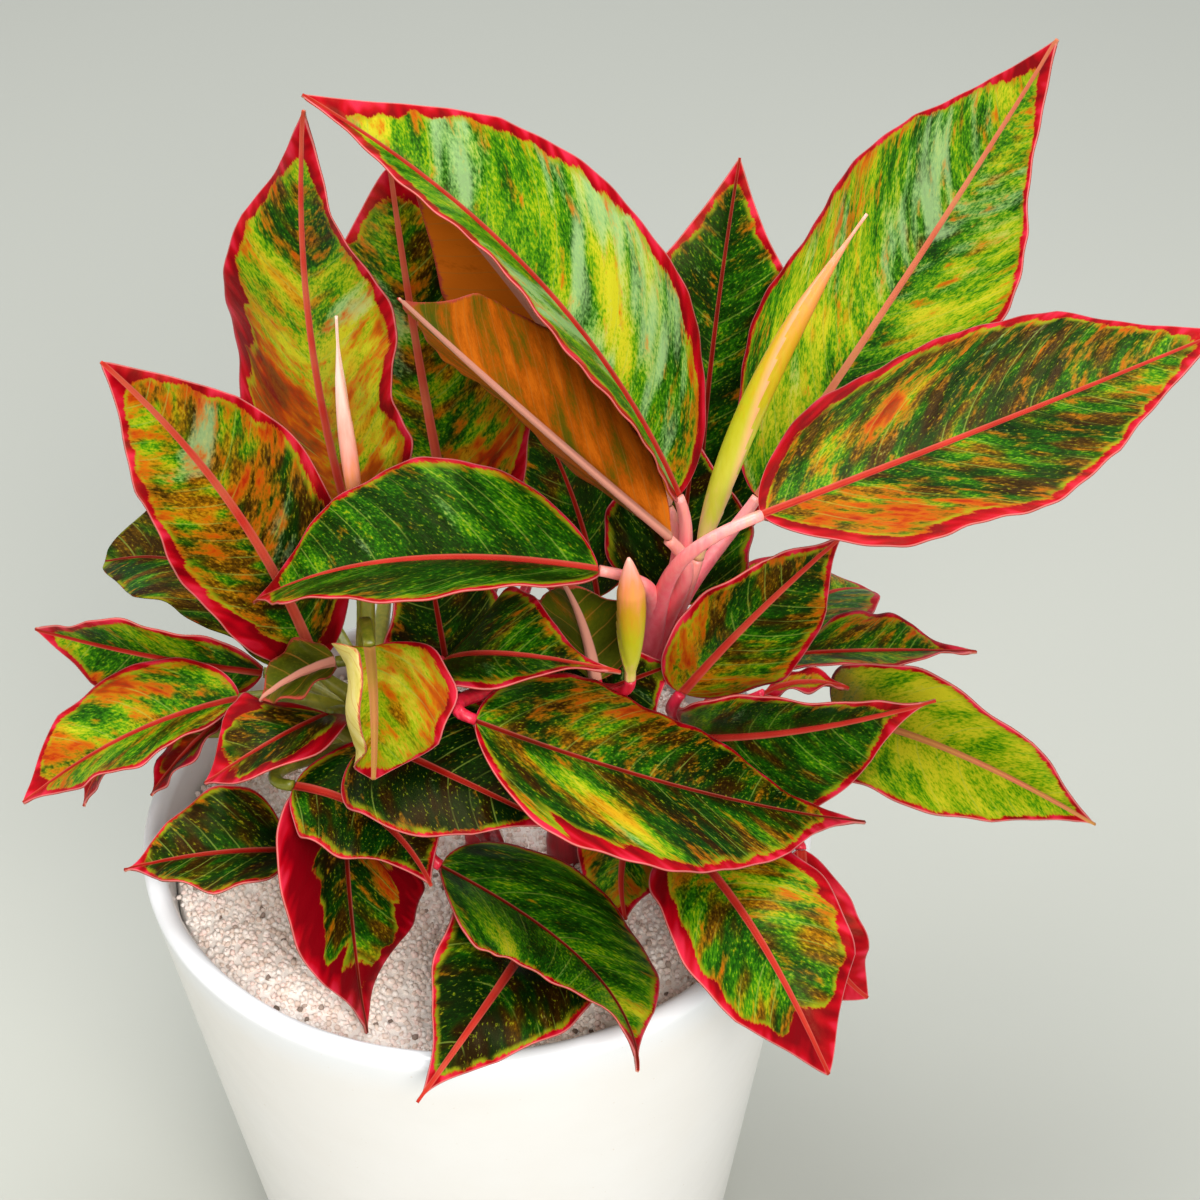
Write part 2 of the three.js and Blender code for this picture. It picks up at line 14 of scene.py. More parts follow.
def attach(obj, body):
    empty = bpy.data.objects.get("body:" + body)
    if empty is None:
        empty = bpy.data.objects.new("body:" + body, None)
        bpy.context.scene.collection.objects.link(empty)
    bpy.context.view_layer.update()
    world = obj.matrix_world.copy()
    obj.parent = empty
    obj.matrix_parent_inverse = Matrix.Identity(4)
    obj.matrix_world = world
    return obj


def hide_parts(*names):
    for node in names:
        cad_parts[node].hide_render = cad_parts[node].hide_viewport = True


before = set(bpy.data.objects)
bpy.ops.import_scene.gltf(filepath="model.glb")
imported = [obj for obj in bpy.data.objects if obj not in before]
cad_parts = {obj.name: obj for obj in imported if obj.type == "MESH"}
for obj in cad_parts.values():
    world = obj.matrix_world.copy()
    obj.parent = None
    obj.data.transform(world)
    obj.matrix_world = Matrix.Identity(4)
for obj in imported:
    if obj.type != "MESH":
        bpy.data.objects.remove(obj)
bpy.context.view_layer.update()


# ---- planter --------------------------------------------------------------------------
# The pot is one thrown and turned stoneware body with a full-round lip, under a smooth
# white glaze that breaks a little warmer where it runs thin on the wall.

POT_HEIGHT = 200
RIM_RADIUS = 115
WALL_TAPER = 0.147  # radius lost per mm going down
WALL_THICKNESS = 7.5
FLOOR_THICKNESS = 9
EDGE_ROUND = 5  # at the foot and in the corner inside
POT_SIDES = 192


def unit(vectors):
    """Each vector divided by its own length."""
    return vectors / np.linalg.norm(vectors, axis=-1, keepdims=True)


def circles(radius, places):
    """x and y of rings about Z: r * cos(a) and r * sin(a) on a grid [ring, place]."""
    angle = np.linspace(0, 2 * np.pi, places, endpoint=False)[None]
    return radius[:, None] * np.cos(angle), radius[:, None] * np.sin(angle)


def skin(rings):
    """Points and faces of a closed skin over an array of rings [ring, place, xyz].

    Each ring is joined to the next by four-sided faces, and the two end rings are closed by
    a fan to their mean point. Rings run anticlockwise when seen from the last one.
    """
    count, places = rings.shape[:2]
    index = np.arange(count * places).reshape(count, places)
    following = np.roll(index, -1, axis=1)
    quads = np.stack([index[:-1], following[:-1], following[1:], index[1:]], axis=-1)
    start = np.full(places, count * places)
    first = np.stack([start, following[0], index[0]], axis=-1)
    last = np.stack([start + 1, index[-1], following[-1]], axis=-1)
    ends = [rings[0].mean(axis=0), rings[-1].mean(axis=0)]
    points = np.concatenate([rings.reshape(-1, 3), ends])
    return points, quads.reshape(-1, 4).tolist() + first.tolist() + last.tolist()


def over_skin(values):
    """The values of a grid [ring, place] in the order of skin's points, ends as means."""
    grid = np.asarray(values, float)
    flat = grid.reshape(grid.shape[0] * grid.shape[1], *grid.shape[2:])
    return np.concatenate([flat, [grid[0].mean(axis=0), grid[-1].mean(axis=0)]])


def make_piece(name, points, faces, material, node, readings=None):
    """A smooth mesh object at the origin from points in mm, which stands for a frame node.

    readings gives, by name, a number or a vector for each point that the material reads.
    """
    mesh = bpy.data.meshes.new(name)
    mesh.from_pydata((np.asarray(points) / 1000).tolist(), [], faces)
    mesh.polygons.foreach_set("use_smooth", np.ones(len(mesh.polygons), bool))
    for label, values in (readings or {}).items():
        values = np.asarray(values, np.float32)
        kind = "FLOAT" if values.ndim == 1 else "FLOAT_VECTOR"
        layer = mesh.attributes.new(label, kind, "POINT")
        layer.data.foreach_set("value" if values.ndim == 1 else "vector", values.ravel())
    mesh.materials.append(material)
    piece = bpy.data.objects.new(name, mesh)
    bpy.context.scene.collection.objects.link(piece)
    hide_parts(node)
    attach(piece, "root")
    return piece


def linear(code):
    """An sRGB hex colour as linear RGBA: c becomes ((c + 0.055) / 1.055) ** 2.4."""
    srgb = np.array([int(code[i : i + 2], 16) for i in (1, 3, 5)]) / 255
    curve = ((srgb + 0.055) / 1.055) ** 2.4
    return (*np.where(srgb <= 0.04045, srgb / 12.92, curve).tolist(), 1.0)


def fill(node, inputs):
    """Fills a node's inputs: a socket is linked, a hex colour or a plain value is set."""
    for key, value in inputs.items():
        if isinstance(value, bpy.types.NodeSocket):
            node.id_data.links.new(value, node.inputs[key])
        else:
            node.inputs[key].default_value = linear(value) if isinstance(value, str) else value


# The nodes that the materials are made of: kind, inputs in the order that values are given
# for them, and settings. A sum is the first value times the second, plus the third.
NODES = {
    "place": ("TexCoord", (), {}),
    "reading": ("Attribute", (), {}),
    "split": ("SeparateXYZ", (0,), {}),
    "scaled": ("VectorMath", (0, "Scale"), {"operation": "SCALE"}),
    "fitted": ("VectorMath", (0, 1, 2), {"operation": "MULTIPLY_ADD"}),
    "noise": ("TexNoise", ("Vector", "Scale", "Detail", "Roughness"), {}),
    "cells": ("TexVoronoi", ("Vector", "Scale"), {}),
    "bump": ("Bump", ("Height", "Strength", "Distance"), {}),
    "colours": ("ValToRGB", (0,), {}),
    "blend": ("Mix", (0, 6, 7), {"data_type": "RGBA"}),
    "range": ("MapRange", (0, 1, 2, 3, 4), {}),
    "step": ("MapRange", (0, 1, 2, 4), {"interpolation_type": "SMOOTHSTEP"}),
    "math": ("Math", (0, 1, 2), {}),
    "sum": ("Math", (0, 1, 2), {"operation": "MULTIPLY_ADD"}),
}


def add_node(tree, name, *values, **settings):
    """Adds one of NODES, sets its settings, fills its inputs and gives its first output."""
    kind, inputs, usual = NODES[name]
    node = tree.nodes.new("ShaderNode" + kind)
    for key, value in {**usual, **settings}.items():
        setattr(node, key, value)
    fill(node, dict(zip(inputs, values)))
    return next(output for output in node.outputs if output.enabled)


def start_material(name):
    """A material, the function that adds nodes to it, and its shader."""
    material = bpy.data.materials.new(name)
    material.use_nodes = True
    tree = material.node_tree
    return material, partial(add_node, tree), tree.nodes["Principled BSDF"]


def in_mm(add):
    """The place on the object in millimetres."""
    return add("scaled", add("place").node.outputs["Object"], 1000.0)


def planter_rings():
    """Rings of a profile turned about Z: radius r(s), height z(s), angle a.

    The profile runs over the base, round the foot, up the straight tapered wall, over a
    half circle for the lip, down the inside and across the floor.
    """
    lip = WALL_THICKNESS / 2
    top = POT_HEIGHT - lip
    corner = FLOOR_THICKNESS + EDGE_ROUND

    def wall(height, inwards):
        return RIM_RADIUS - inwards - WALL_TAPER * (top - height), height

    def arc(r, z, size, start, end, steps):
        angle = np.radians(np.linspace(start, end, steps))
        return np.stack([r + size * np.cos(angle), z + size * np.sin(angle)], 1)

    foot = RIM_RADIUS - WALL_TAPER * POT_HEIGHT - EDGE_ROUND
    floor = wall(corner, WALL_THICKNESS)[0] - EDGE_ROUND
    profile = np.concatenate([
        [(1.0, 0.0)],
        np.linspace((12, 0), (foot - 1, 0), 8),
        arc(foot, EDGE_ROUND, EDGE_ROUND, -90, 0, 8),
        np.linspace(wall(EDGE_ROUND + 2, 0), wall(top - 2, 0), 24),
        arc(RIM_RADIUS - lip, top, lip, 0, 180, 17),
        np.linspace(wall(top - 2, WALL_THICKNESS), wall(corner + 1, WALL_THICKNESS), 16),
        arc(floor, corner, EDGE_ROUND, 0, -90, 6),
        np.linspace((floor - 6, FLOOR_THICKNESS), (1, FLOOR_THICKNESS), 8),
    ])
    x, y = circles(profile[:, 0], POT_SIDES)
    return np.stack([x, y, profile[:, 1:] + 0 * x], -1)


def stoneware_glaze():
    """Glossy white glaze: faint clouds 60 mm wide, pinholes of 1.5 mm and a soft ripple.

    Over the top 20 mm it turns cooler: a painted cool reflection along the rounded lip.
    """
    material, add, shader = start_material("white_glazed_stoneware")
    mm = in_mm(add)
    clouds = add("noise", mm, 1 / 60, 3.0)
    painted_lip_reflection = add("step", add("split", mm).node.outputs[2], 178.0, 199.0)
    pinholes = add("range", add("noise", mm, 1 / 1.5, 1.0), 0.76, 0.82, 0.0, 0.35)
    glaze = add("blend", clouds, "#ebecec", "#e3e0da")
    # Painted reflection: the glaze is made cooler over the top 20 mm, where the lip reflects the
    # pale room.
    glaze = add("blend", painted_lip_reflection, glaze, "#e9edf1")
    fill(shader, {
        "Base Color": add("blend", pinholes, glaze, "#cdbfae"),
        "Roughness": add("range", clouds, 0.0, 1.0, 0.16, 0.3),
        "Normal": add("bump", add("noise", mm, 1 / 14, 2.0), 0.25, 0.0006),
        "IOR": 1.5,
    })
    return material


points, faces = skin(planter_rings())
make_piece("glazed_pot", points, faces, stoneware_glaze(), "planter")


# ---- soil -----------------------------------------------------------------------------
# Damp peat and bark mix that fills the pot. It is the frame's own solid, dark brown and
# matt, and shows only where the granules part.


def potting_mix():
    """Matt peat: dark crumbs of 4 mm with paler bark fibres of 9 mm between them."""
    material, add, shader = start_material("damp_potting_mix")
    mm = in_mm(add)
    crumbs = add("cells", mm, 1 / 4)
    fibres = add("range", add("noise", mm, 1 / 9, 6.0), 0.6, 0.72)
    peat = add("blend", crumbs, "#1d130c", "#4a3424")
    fill(shader, {
        "Base Color": add("blend", fibres, peat, "#6e5138"),
        "Roughness": 0.95,
        "Normal": add("bump", crumbs, 0.8, 0.002),
    })
    return material


for soil_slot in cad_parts["soil"].material_slots:
    soil_slot.material = potting_mix()


# ---- top dressing ---------------------------------------------------------------------
# A layer of crushed pale stone spread over the soil, off-white to pink with a few dark
# chips. Each chip is a rough twenty-sided stone, pressed into a bed of the same stone.

BED_LEVEL = 185.6
BED_BOTTOM = 181.4
BED_PLACES = 168
BED_TINT = 0.6
SEAT_GAP = 0.3  # mm of air between pieces that touch on the real plant
CHIP_SIZE = 2.4
CHIP_COUNT = 8800
CHIP_CORNERS = 12
GOLDEN_RATIO = (1 + np.sqrt(5)) / 2
GOLDEN_ANGLE = np.pi * (3 - np.sqrt(5))


def bed_height(x, y):
    """Slow swells of the layer: three sine waves 30 to 90 mm long, 0.45 mm high each."""
    swell = np.sin(x / 14 + 1) + np.sin(y / 9 + 2) + np.sin((x + y) / 7)
    return BED_LEVEL + 0.45 * swell


def bed_rings(outer):
    """A closed disc: flat underside, upright edge and a top that follows bed_height."""
    inwards = outer * (1 - np.linspace(0, 1, 56)[1:-1])
    radius = np.concatenate([[0.5, outer * 0.5, outer], inwards, [0.5]])
    x, y = circles(radius, BED_PLACES)
    under = (np.arange(len(radius)) < 3)[:, None]
    return np.stack([x, y, np.where(under, BED_BOTTOM, bed_height(x, y))], -1)


def stone_corners():
    """The corners of an icosahedron of radius 1, and its sides as triples of corners.

    The corners are (0, 1, g) with both signs, turned through the axes, g the golden ratio.
    A side is three corners that are next to each other, in anticlockwise order.
    """
    flat = [(x, y, 0) for y in (GOLDEN_RATIO, -GOLDEN_RATIO) for x in (-1, 1)]
    turned = [(z, x, y) for x, y, z in flat] + [(y, z, x) for x, y, z in flat]
    corners = unit(np.array(flat + turned, float))
    gap = np.linalg.norm(corners[:, None] - corners[None], axis=-1)
    near = (gap > 0) & (gap < 1.1)
    i, j, k = (near[:, :, None] & near[None] & near[:, None]).nonzero()
    turn = np.einsum("ij,ij->i", np.cross(corners[i], corners[j]), corners[k])
    return corners, np.array([i, j, k]).T[(turn > 0) & (i < j) & (i < k)]


def chips(rng, outer):
    """Points, faces and tints of all chips.

    Chip i stands on a sunflower spiral at angle i * golden angle and radius outer * sqrt(i / n).
    Its corners are an icosahedron's, each pulled in or out, squashed and turned at random.
    """
    corners, sides = stone_corners()
    number = np.arange(CHIP_COUNT)
    radius = (outer - CHIP_SIZE / 2) * np.sqrt((number + 0.5) / CHIP_COUNT)
    angle = number * GOLDEN_ANGLE
    x = radius * np.cos(angle) + rng.uniform(-1.1, 1.1, CHIP_COUNT)
    y = radius * np.sin(angle) + rng.uniform(-1.1, 1.1, CHIP_COUNT)
    z = bed_height(x, y) + rng.uniform(-0.3, 0.9, CHIP_COUNT)
    shape = corners[None] * rng.uniform(0.78, 1.12, (CHIP_COUNT, CHIP_CORNERS, 1))
    shape = shape * rng.uniform(0.7, 1.15, (CHIP_COUNT, 1, 3)) * CHIP_SIZE / 2
    axes, _ = np.linalg.qr(rng.normal(size=(CHIP_COUNT, 3, 3)))
    axes = axes * np.sign(np.linalg.det(axes))[:, None, None]
    placed = np.einsum("nij,nkj->nki", axes, shape) + np.stack([x, y, z], -1)[:, None]
    faces = (sides[None] + CHIP_CORNERS * number[:, None, None]).reshape(-1, 3)
    tints = np.repeat(rng.uniform(0, 1, CHIP_COUNT), CHIP_CORNERS)
    return placed.reshape(-1, 3), faces, tints


def through(add, value, stops):
    """A colour that runs through the stops (value, hex colour) as the value grows."""
    first, last = stops[0][0], stops[-1][0]
    ramp = add("colours", add("range", value, first, last)).node
    for _ in stops[1:-1]:
        ramp.color_ramp.elements.new(0.5)
    for element, (reached, code) in zip(ramp.color_ramp.elements, stops):
        element.position = (reached - first) / (last - first)
        element.color = linear(code)
    return ramp.outputs[0]


def crushed_stone():
    """Matt crushed stone: one tint a chip, and a grain of 0.5 mm that varies it."""
    material, add, shader = start_material("crushed_pale_stone")
    tint = add("reading", attribute_name="tint").node.outputs["Fac"]
    stops = [(0.0, "#6b5a4e"), (0.02, "#e6d2c4"), (0.3, "#f8e9de"), (0.62, "#fffaf4")]
    stone = through(add, tint, stops + [(1.0, "#fbe2d8")])
    grain = add("noise", in_mm(add), 1 / 0.5, 2.0)
    fill(shader, {
        "Base Color": add("scaled", stone, add("range", grain, 0.0, 1.0, 0.86, 1.1)),
        "Roughness": 0.85,
        "Normal": add("bump", grain, 0.5, 0.0003),
    })
    return material


inside = RIM_RADIUS - WALL_THICKNESS - WALL_TAPER * (POT_HEIGHT - BED_LEVEL) - SEAT_GAP
bed_points, bed_faces = skin(bed_rings(inside))
chip_points, chip_faces, chip_tints = chips(np.random.default_rng(7), inside)
make_piece(
    "stone_chips",
    np.concatenate([bed_points, chip_points]),
    bed_faces + (chip_faces + len(bed_points)).tolist(),
    crushed_stone(),
    "top_dressing",
    {"tint": np.concatenate([np.full(len(bed_points), BED_TINT), chip_tints])},
)


# ---- the blades' places ---------------------------------------------------------------
# Each leaf is one blade at the end of one stalk. A row gives the two ends of its midrib,
# its width and how it bends, as the plant grew, and what colours its two faces carry.

USUAL = dict(
    start=1, peak=0.4, arch=0, sway=0, roll=0, right=14, left=14, curl=0, wave=1.2, lift=1,
    ease=0.35, light=0.25, red=0.15, silver=0, brown=0, warm=0.5, edge=2.2, rib=0.4, marks=[],
)


def mark(t, v, size, **shares):
    """A patch on a blade: its place, its size in mm, and what it adds to the row's shares.

    t is the place along the midrib, and v the place across, from -1 on the left margin to 1
    on the right one.
    """
    return dict(t=t, v=v, size=size, shares=shares)


def leaf(name, cane, base, tip, **form):
    """One row: places in mm, angles in degrees, colours as shares from 0 to 1.

    start is where the stalk leaves its cane and peak the place of the widest point, both
    from 0 to 1. arch and sway bend the midrib upwards and to the right, roll turns the
    blade about it, right and left say how steeply the halves rise, curl turns the right
    half further, and wave is the height of the margin's waves. The stalk rises more
    steeply with lift and comes into line with the midrib sooner with ease.
    light, red and the silvery share say how much of the upper face is yellow-green, red and
    silvery; the silvery part is partly silver-green variegation and partly a painted sheen of
    reflected light. brown says how much it is like the underside, and warm how far green turns
    to olive.
    edge is the width of the red margin in mm and rib the midrib's colour, dark to green.
    """
    return {**USUAL, **form, "name": name, "cane": cane, "base": base, "tip": tip}


LEAVES = [
    # right crown: tall blades over the middle of the plant
    leaf("leaf_right_1", "right", (70, 21, 317), (-42, 49, 450), wide=81, peak=0.43, arch=16,
        sway=7, roll=28, right=7, left=52, light=0.36, red=0.05, silver=0.85, warm=0.15, edge=3,
        rib=0.35, marks=[mark(0.62, 0.55, 15, silver=-0.9),
        mark(0.82, 0.3, 12, light=-0.2, silver=-0.9),
        mark(0.88, 0.6, 9, light=0.7, red=0.15, silver=-0.4),
        mark(0.3, 0.25, 8, light=0.5, silver=-0.3), mark(0.42, 0.5, 8, light=0.5, silver=-0.4),
        mark(0.12, 0.8, 12, light=-0.2, red=0.35, silver=-0.9), mark(0.05, 0.9, 24, edge=2.5),
        mark(0.95, 0.6, 30, edge=2.5), mark(0.3, -0.7, 20, light=-0.1, silver=-0.9),
        mark(0.7, -0.7, 20, silver=-0.9)]),
    leaf("leaf_right_2", "right", (66, 0, 316), (-10, -48, 438), start=0.9, wide=64, peak=0.38,
        arch=10, sway=-6, roll=-125, right=120, left=4, light=0.6, red=0.1, edge=0.8,
        marks=[mark(0.85, 0, 16, light=-0.5), mark(0.6, -0.5, 12, light=-0.25)]),
    leaf("leaf_right_3", "right", (98, 55, 291), (192, 93, 440), start=0.9, wide=101, peak=0.41,
        arch=-8, sway=-6, roll=-4, right=2, left=4, light=0.43, red=0.05, silver=0.25, warm=0.3,
        edge=1.8, rib=0.72, marks=[mark(0.2, -0.45, 18, light=0.2),
        mark(0.38, -0.6, 14, light=0.15), mark(0.62, -0.35, 16, light=-0.15, silver=0.5),
        mark(0.72, 0.45, 16, light=-0.2, silver=0.4),
        mark(0.3, 0.18, 12, light=-0.5, silver=-0.2),
        mark(0.45, 0.5, 9, light=0.25, silver=-0.2), mark(0.3, 0.8, 14, light=-0.3, red=0.3),
        mark(0.1, 0.5, 14, light=-0.4), mark(0.9, -0.5, 16, light=0.2, red=0.2, edge=3),
        mark(0.6, -0.95, 18, red=0.3)]),
    leaf("leaf_right_4", "right", (94, -20, 340), (234, 6, 386), start=0.8, wide=88, peak=0.45,
        arch=-6, sway=-6, roll=-2, right=3, left=5, light=0, red=0.06, warm=0.62, edge=2.6,
        rib=0.38, marks=[mark(0.22, -0.45, 14, light=0.3, red=0.1),
        mark(0.33, -0.5, 6, red=0.75), mark(0.42, -0.6, 7, light=0.35, red=0.15),
        mark(0.62, -0.4, 16, light=-0.15), mark(0.15, 0.6, 14, light=0.2, red=0.45),
        mark(0.35, 0.75, 14, light=0.1, red=0.35), mark(0.5, 0.35, 12, light=0.2),
        mark(0.8, -0.8, 14, light=0.25, red=0.15), mark(0.85, 0.7, 14, light=0.2, red=0.15),
        mark(0.03, 0, 26, edge=3.5)]),
    leaf("leaf_right_5", "right", (79, 99, 233), (96, 145, 371), start=0.7, wide=68, peak=0.42,
        arch=7, sway=-2, roll=-15, right=10, left=16, light=-0.02, red=0, silver=0.15, warm=0.3,
        edge=2.8, rib=0.15, marks=[mark(0.5, -0.85, 16, light=0.35)]),
    leaf("leaf_right_6", "side", (70, -3, 254), (122, 7, 310), start=0.9, wide=49, arch=2,
        sway=-3, roll=-86, right=4, left=16, light=-0.05, red=0.05, warm=0.6, edge=1.6, rib=0.5,
        marks=[mark(0.12, -0.5, 12, light=0.45, red=0.4),
        mark(0.35, -0.8, 10, light=0.45, red=0.2), mark(0.3, 0.8, 10, light=0.3)]),
    leaf("leaf_right_7", "right", (44, -15, 316), (-69, 6, 290), start=0.9, wide=70, peak=0.42,
        arch=19, sway=-11, right=29, left=18, light=-0.02, red=-0.1, silver=0.05, warm=0.1,
        edge=1.1, rib=0.45, marks=[mark(0.92, 0.4, 12, light=0.3, red=0.25, edge=4),
        mark(0.93, -0.5, 10, light=0.2, red=0.2, edge=2.5), mark(0.15, 0.8, 14, light=0.2)]),
    leaf("leaf_right_8", "right", (67, 34, 303), (-12, 62, 417), start=0.8, wide=44, peak=0.5,
        arch=10, sway=-4, roll=-128, right=10, left=10, light=0.95, red=0.1, edge=1.2),
    # A dark filler blade in the crown's depths: its low light and red shares are partly painted
    # shade.
    leaf("leaf_right_9", "right", (70, 62, 240), (78, 84, 296), start=0.7, wide=56, light=-0.2,
        red=-0.3, edge=1, rib=0.2),
    # back crown: upright blades behind
    leaf("leaf_back_1", "back", (-6, 66, 265), (-21, 91, 401), wide=75, peak=0.5, arch=10,
        roll=32, light=0.22, warm=0.6, edge=3, rib=0.6,
        marks=[mark(0.7, -0.5, 12, light=0.2, silver=1.1), mark(0.75, 0.9, 22, edge=7),
        mark(0.72, 0.3, 11, light=-0.45), mark(0.3, 0.5, 14, light=0.35, red=0.3),
        mark(0.28, 0.65, 6, red=0.6), mark(0.2, -0.3, 12, light=0.3, red=0.2)]),
    leaf("leaf_back_2", "back", (43, 68, 238), (19, 94, 310), start=0.9, wide=60, arch=7,
        light=-0.1, red=-0.05, edge=2, rib=0.2),
    leaf("leaf_left_1", "left", (-38, 38, 294), (-44, 63, 437), wide=73, peak=0.38, sway=-8,
        roll=47, right=3, left=0, wave=4, light=0.56, silver=0.05, edge=3, rib=0.55,
        marks=[mark(0.5, -0.85, 22, red=0.25, edge=7), mark(0.35, -0.55, 14, red=0.75),
        mark(0.2, -0.5, 12, light=0.2, red=0.65), mark(0.75, -0.4, 10, light=-0.15),
        mark(0.72, 0.25, 14, light=-0.55), mark(0.55, 0.55, 11, light=0.2, silver=0.8),
        mark(0.35, 0.15, 12, light=0.3), mark(0.45, 0.75, 12, light=0.25, red=0.3),
        mark(0.15, 0.6, 14, light=0.1, red=0.4), mark(0.35, 0.95, 18, edge=2.5),
        mark(0.95, 0, 14, edge=4)]),
    leaf("leaf_back_3", "back", (18, 82, 236), (34, 154, 240), start=0.7, wide=56, arch=12),
    leaf("leaf_back_4", "back", (-18, 84, 245), (-44, 158, 250), start=0.7, wide=58, arch=14,
        light=0.2, red=0.2, marks=[mark(0.4, 0.5, 16, light=0.3)]),
    leaf("leaf_back_5", "right", (92, 56, 214), (146, 112, 204), start=0.6, wide=54, arch=12,
        light=0.3, red=0.1),
    leaf("leaf_back_6", "left", (-56, 64, 245), (-112, 118, 260), start=0.6, wide=54, arch=14,
        light=0.35, red=0.2, marks=[mark(0.5, -0.5, 16, red=0.3)]),
    leaf("leaf_back_7", "back", (-8, 84, 265), (-18, 138, 312), wide=50, arch=10, light=0.15,
        red=0.2),
    leaf("leaf_back_8", "back", (20, 96, 262), (30, 148, 328), start=0.9, wide=38, arch=8,
        light=0.3, red=0.1),
    leaf("leaf_back_9", "left", (-34, 82, 258), (-64, 122, 322), start=0.9, wide=44, arch=8,
        light=0.2, red=0.3),
    # left crown
    leaf("leaf_left_2", "left", (-52, 14, 256), (-110, 26, 371), wide=59, peak=0.45, arch=3,
        sway=7, roll=40, right=17, left=13, light=0.22, red=0.2, warm=0.75, edge=2.4, rib=0.55,
        marks=[mark(0.75, -0.5, 14, light=0.2, red=0.1), mark(0.5, -0.6, 14, red=0.15),
        mark(0.3, -0.4, 12, light=-0.15), mark(0.25, -0.9, 18, edge=4.5),
        mark(0.05, -0.6, 14, edge=3), mark(0.68, 0.15, 9, silver=1),
        mark(0.4, 0.3, 10, light=-0.3, silver=0.6), mark(0.6, 0.7, 12, light=0.1, red=0.3),
        mark(0.25, 0.5, 16, light=-0.35, red=-0.1), mark(0.95, 0, 12, red=0.2, edge=2)]),
    leaf("leaf_left_3", "left", (-64, 38, 235), (-129, 67, 261), start=0.9, wide=54, peak=0.62,
        arch=17, sway=7, roll=11, right=21, left=21, light=0.05, red=-0.3, warm=0.75, edge=-1,
        rib=0.1),
    leaf("leaf_left_4", "left", (-72, 27, 242), (-151, 41, 252), start=0.8, wide=38, peak=0.43,
        arch=6, sway=2, roll=81, right=27, left=14, light=0.1, red=0, warm=0.25, edge=1.8,
        rib=0.3, marks=[mark(0.9, 0, 14, light=0.3, edge=2), mark(0.5, 0.9, 14, light=0.35)]),
    leaf("leaf_left_5", "left", (-77, 3, 251), (-151, -15, 223), start=0.8, wide=53, peak=0.46,
        arch=2, sway=6, roll=-3, right=17, left=16, light=0.39, red=0, edge=1.6, rib=0.35,
        marks=[mark(0.5, 0.9, 12, red=0.6), mark(0.8, 0.8, 10, red=0.5),
        mark(0.35, 0, 8, red=0.25), mark(0.6, -0.15, 7, red=0.3),
        mark(0.95, 0, 9, red=0.5, edge=4), mark(0.25, 0.3, 12, light=-0.2)]),
    leaf("leaf_left_6", "left", (-42, -9, 276), (-68, -13, 264), start=0.9, wide=28, peak=0.42,
        arch=2, light=-0.1, red=0.1, brown=0.9, edge=1.2, rib=0.6),
    leaf("leaf_left_7", "left", (-46, -10, 255), (-85, -37, 250), start=0.7, wide=49, peak=0.44,
        arch=6, sway=-6, roll=-9, right=11, left=14, light=-0.05, red=-0.05, warm=0.75, edge=3.5,
        rib=0.3, marks=[mark(0.55, 0.85, 14, red=0.4, edge=4.5), mark(0.5, -0.9, 14, edge=2.5)]),
    leaf("leaf_left_8", "left", (-60, -41, 223), (-114, -44, 219), start=0.4, wide=48, peak=0.33,
        arch=4, sway=-1, roll=4, right=20, left=19, light=-0.22, red=-0.2, warm=0.75, edge=0.7,
        rib=0.2, marks=[mark(0.95, 0, 8, edge=2.5)]),
    leaf("leaf_left_9", "left", (-41, -33, 237), (-34, -89, 187), start=0.6, wide=63, peak=0.33,
        arch=12, sway=12, roll=41, right=5, left=1, light=-0.1, red=0.1, warm=0.6, edge=3,
        rib=0.12, marks=[mark(0.35, -0.8, 15, light=-0.35, red=1.15, edge=2),
        mark(0.35, 0.8, 27, light=-0.2, edge=19), mark(0.75, 0.8, 18, edge=7),
        mark(0.6, -0.25, 10, light=0.45, red=-0.2), mark(0.9, 0, 10, edge=3)]),
    leaf("leaf_left_10", "left", (-55, -46, 256), (-10, -87, 251), start=0.6, wide=44, peak=0.38,
        arch=2, sway=-7, roll=-7, right=11, left=14, light=-0.15, red=-0.05, warm=0.6, edge=1.1),
    leaf("leaf_left_11", "left", (-102, 19, 222), (-136, 3, 204), start=0.5, wide=25, peak=0.42,
        arch=8, sway=1, roll=-12, light=0.1, red=1.3, edge=3),
    leaf("leaf_left_12", "left", (-84, 2, 243), (-108, -15, 225), start=0.5, wide=21, peak=0.42,
        arch=2, sway=-1, roll=-17, light=0.1, red=1.3, edge=3),
    leaf("young_leaf_left", "left", (-28, -34, 303), (-27, -66, 276), wide=55, peak=0.45, arch=6,
        roll=12, right=10, left=36, curl=125, light=0.5, red=0.1, edge=1, rib=0.85,
        marks=[mark(0.5, -0.85, 14, red=0.3, edge=2), mark(0.45, -0.5, 8, red=0.25)]),
    # front crown
    leaf("leaf_front_1", "middle", (5, -62, 296), (129, -39, 228), wide=84, peak=0.31, arch=2,
        sway=8, roll=-6, right=3, left=-5, lift=0.55, ease=0.3, light=0, red=0.05, warm=0.6,
        rib=0.12, marks=[mark(0.3, -0.5, 12, light=0.3, red=0.15), mark(0.22, -0.6, 7, red=0.5),
        mark(0.4, -0.75, 7, red=0.35), mark(0.6, -0.4, 16, light=-0.3),
        mark(0.34, 0.6, 8, light=0.5), mark(0.38, 0.85, 9, light=0.4),
        mark(0.12, 0.3, 9, light=0.2), mark(0.25, 0.35, 8, light=0.25),
        mark(0.5, 0.4, 12, light=-0.3), mark(0.68, 0.7, 12, light=0.35),
        mark(0.3, 0.95, 22, edge=3), mark(0.97, 0, 14, edge=3)]),
    leaf("leaf_front_2", "front", (-8, -10, 276), (50, -37, 293), wide=56, peak=0.31, arch=13,
        sway=10, roll=-2, light=0, red=0, edge=2, rib=0.45),
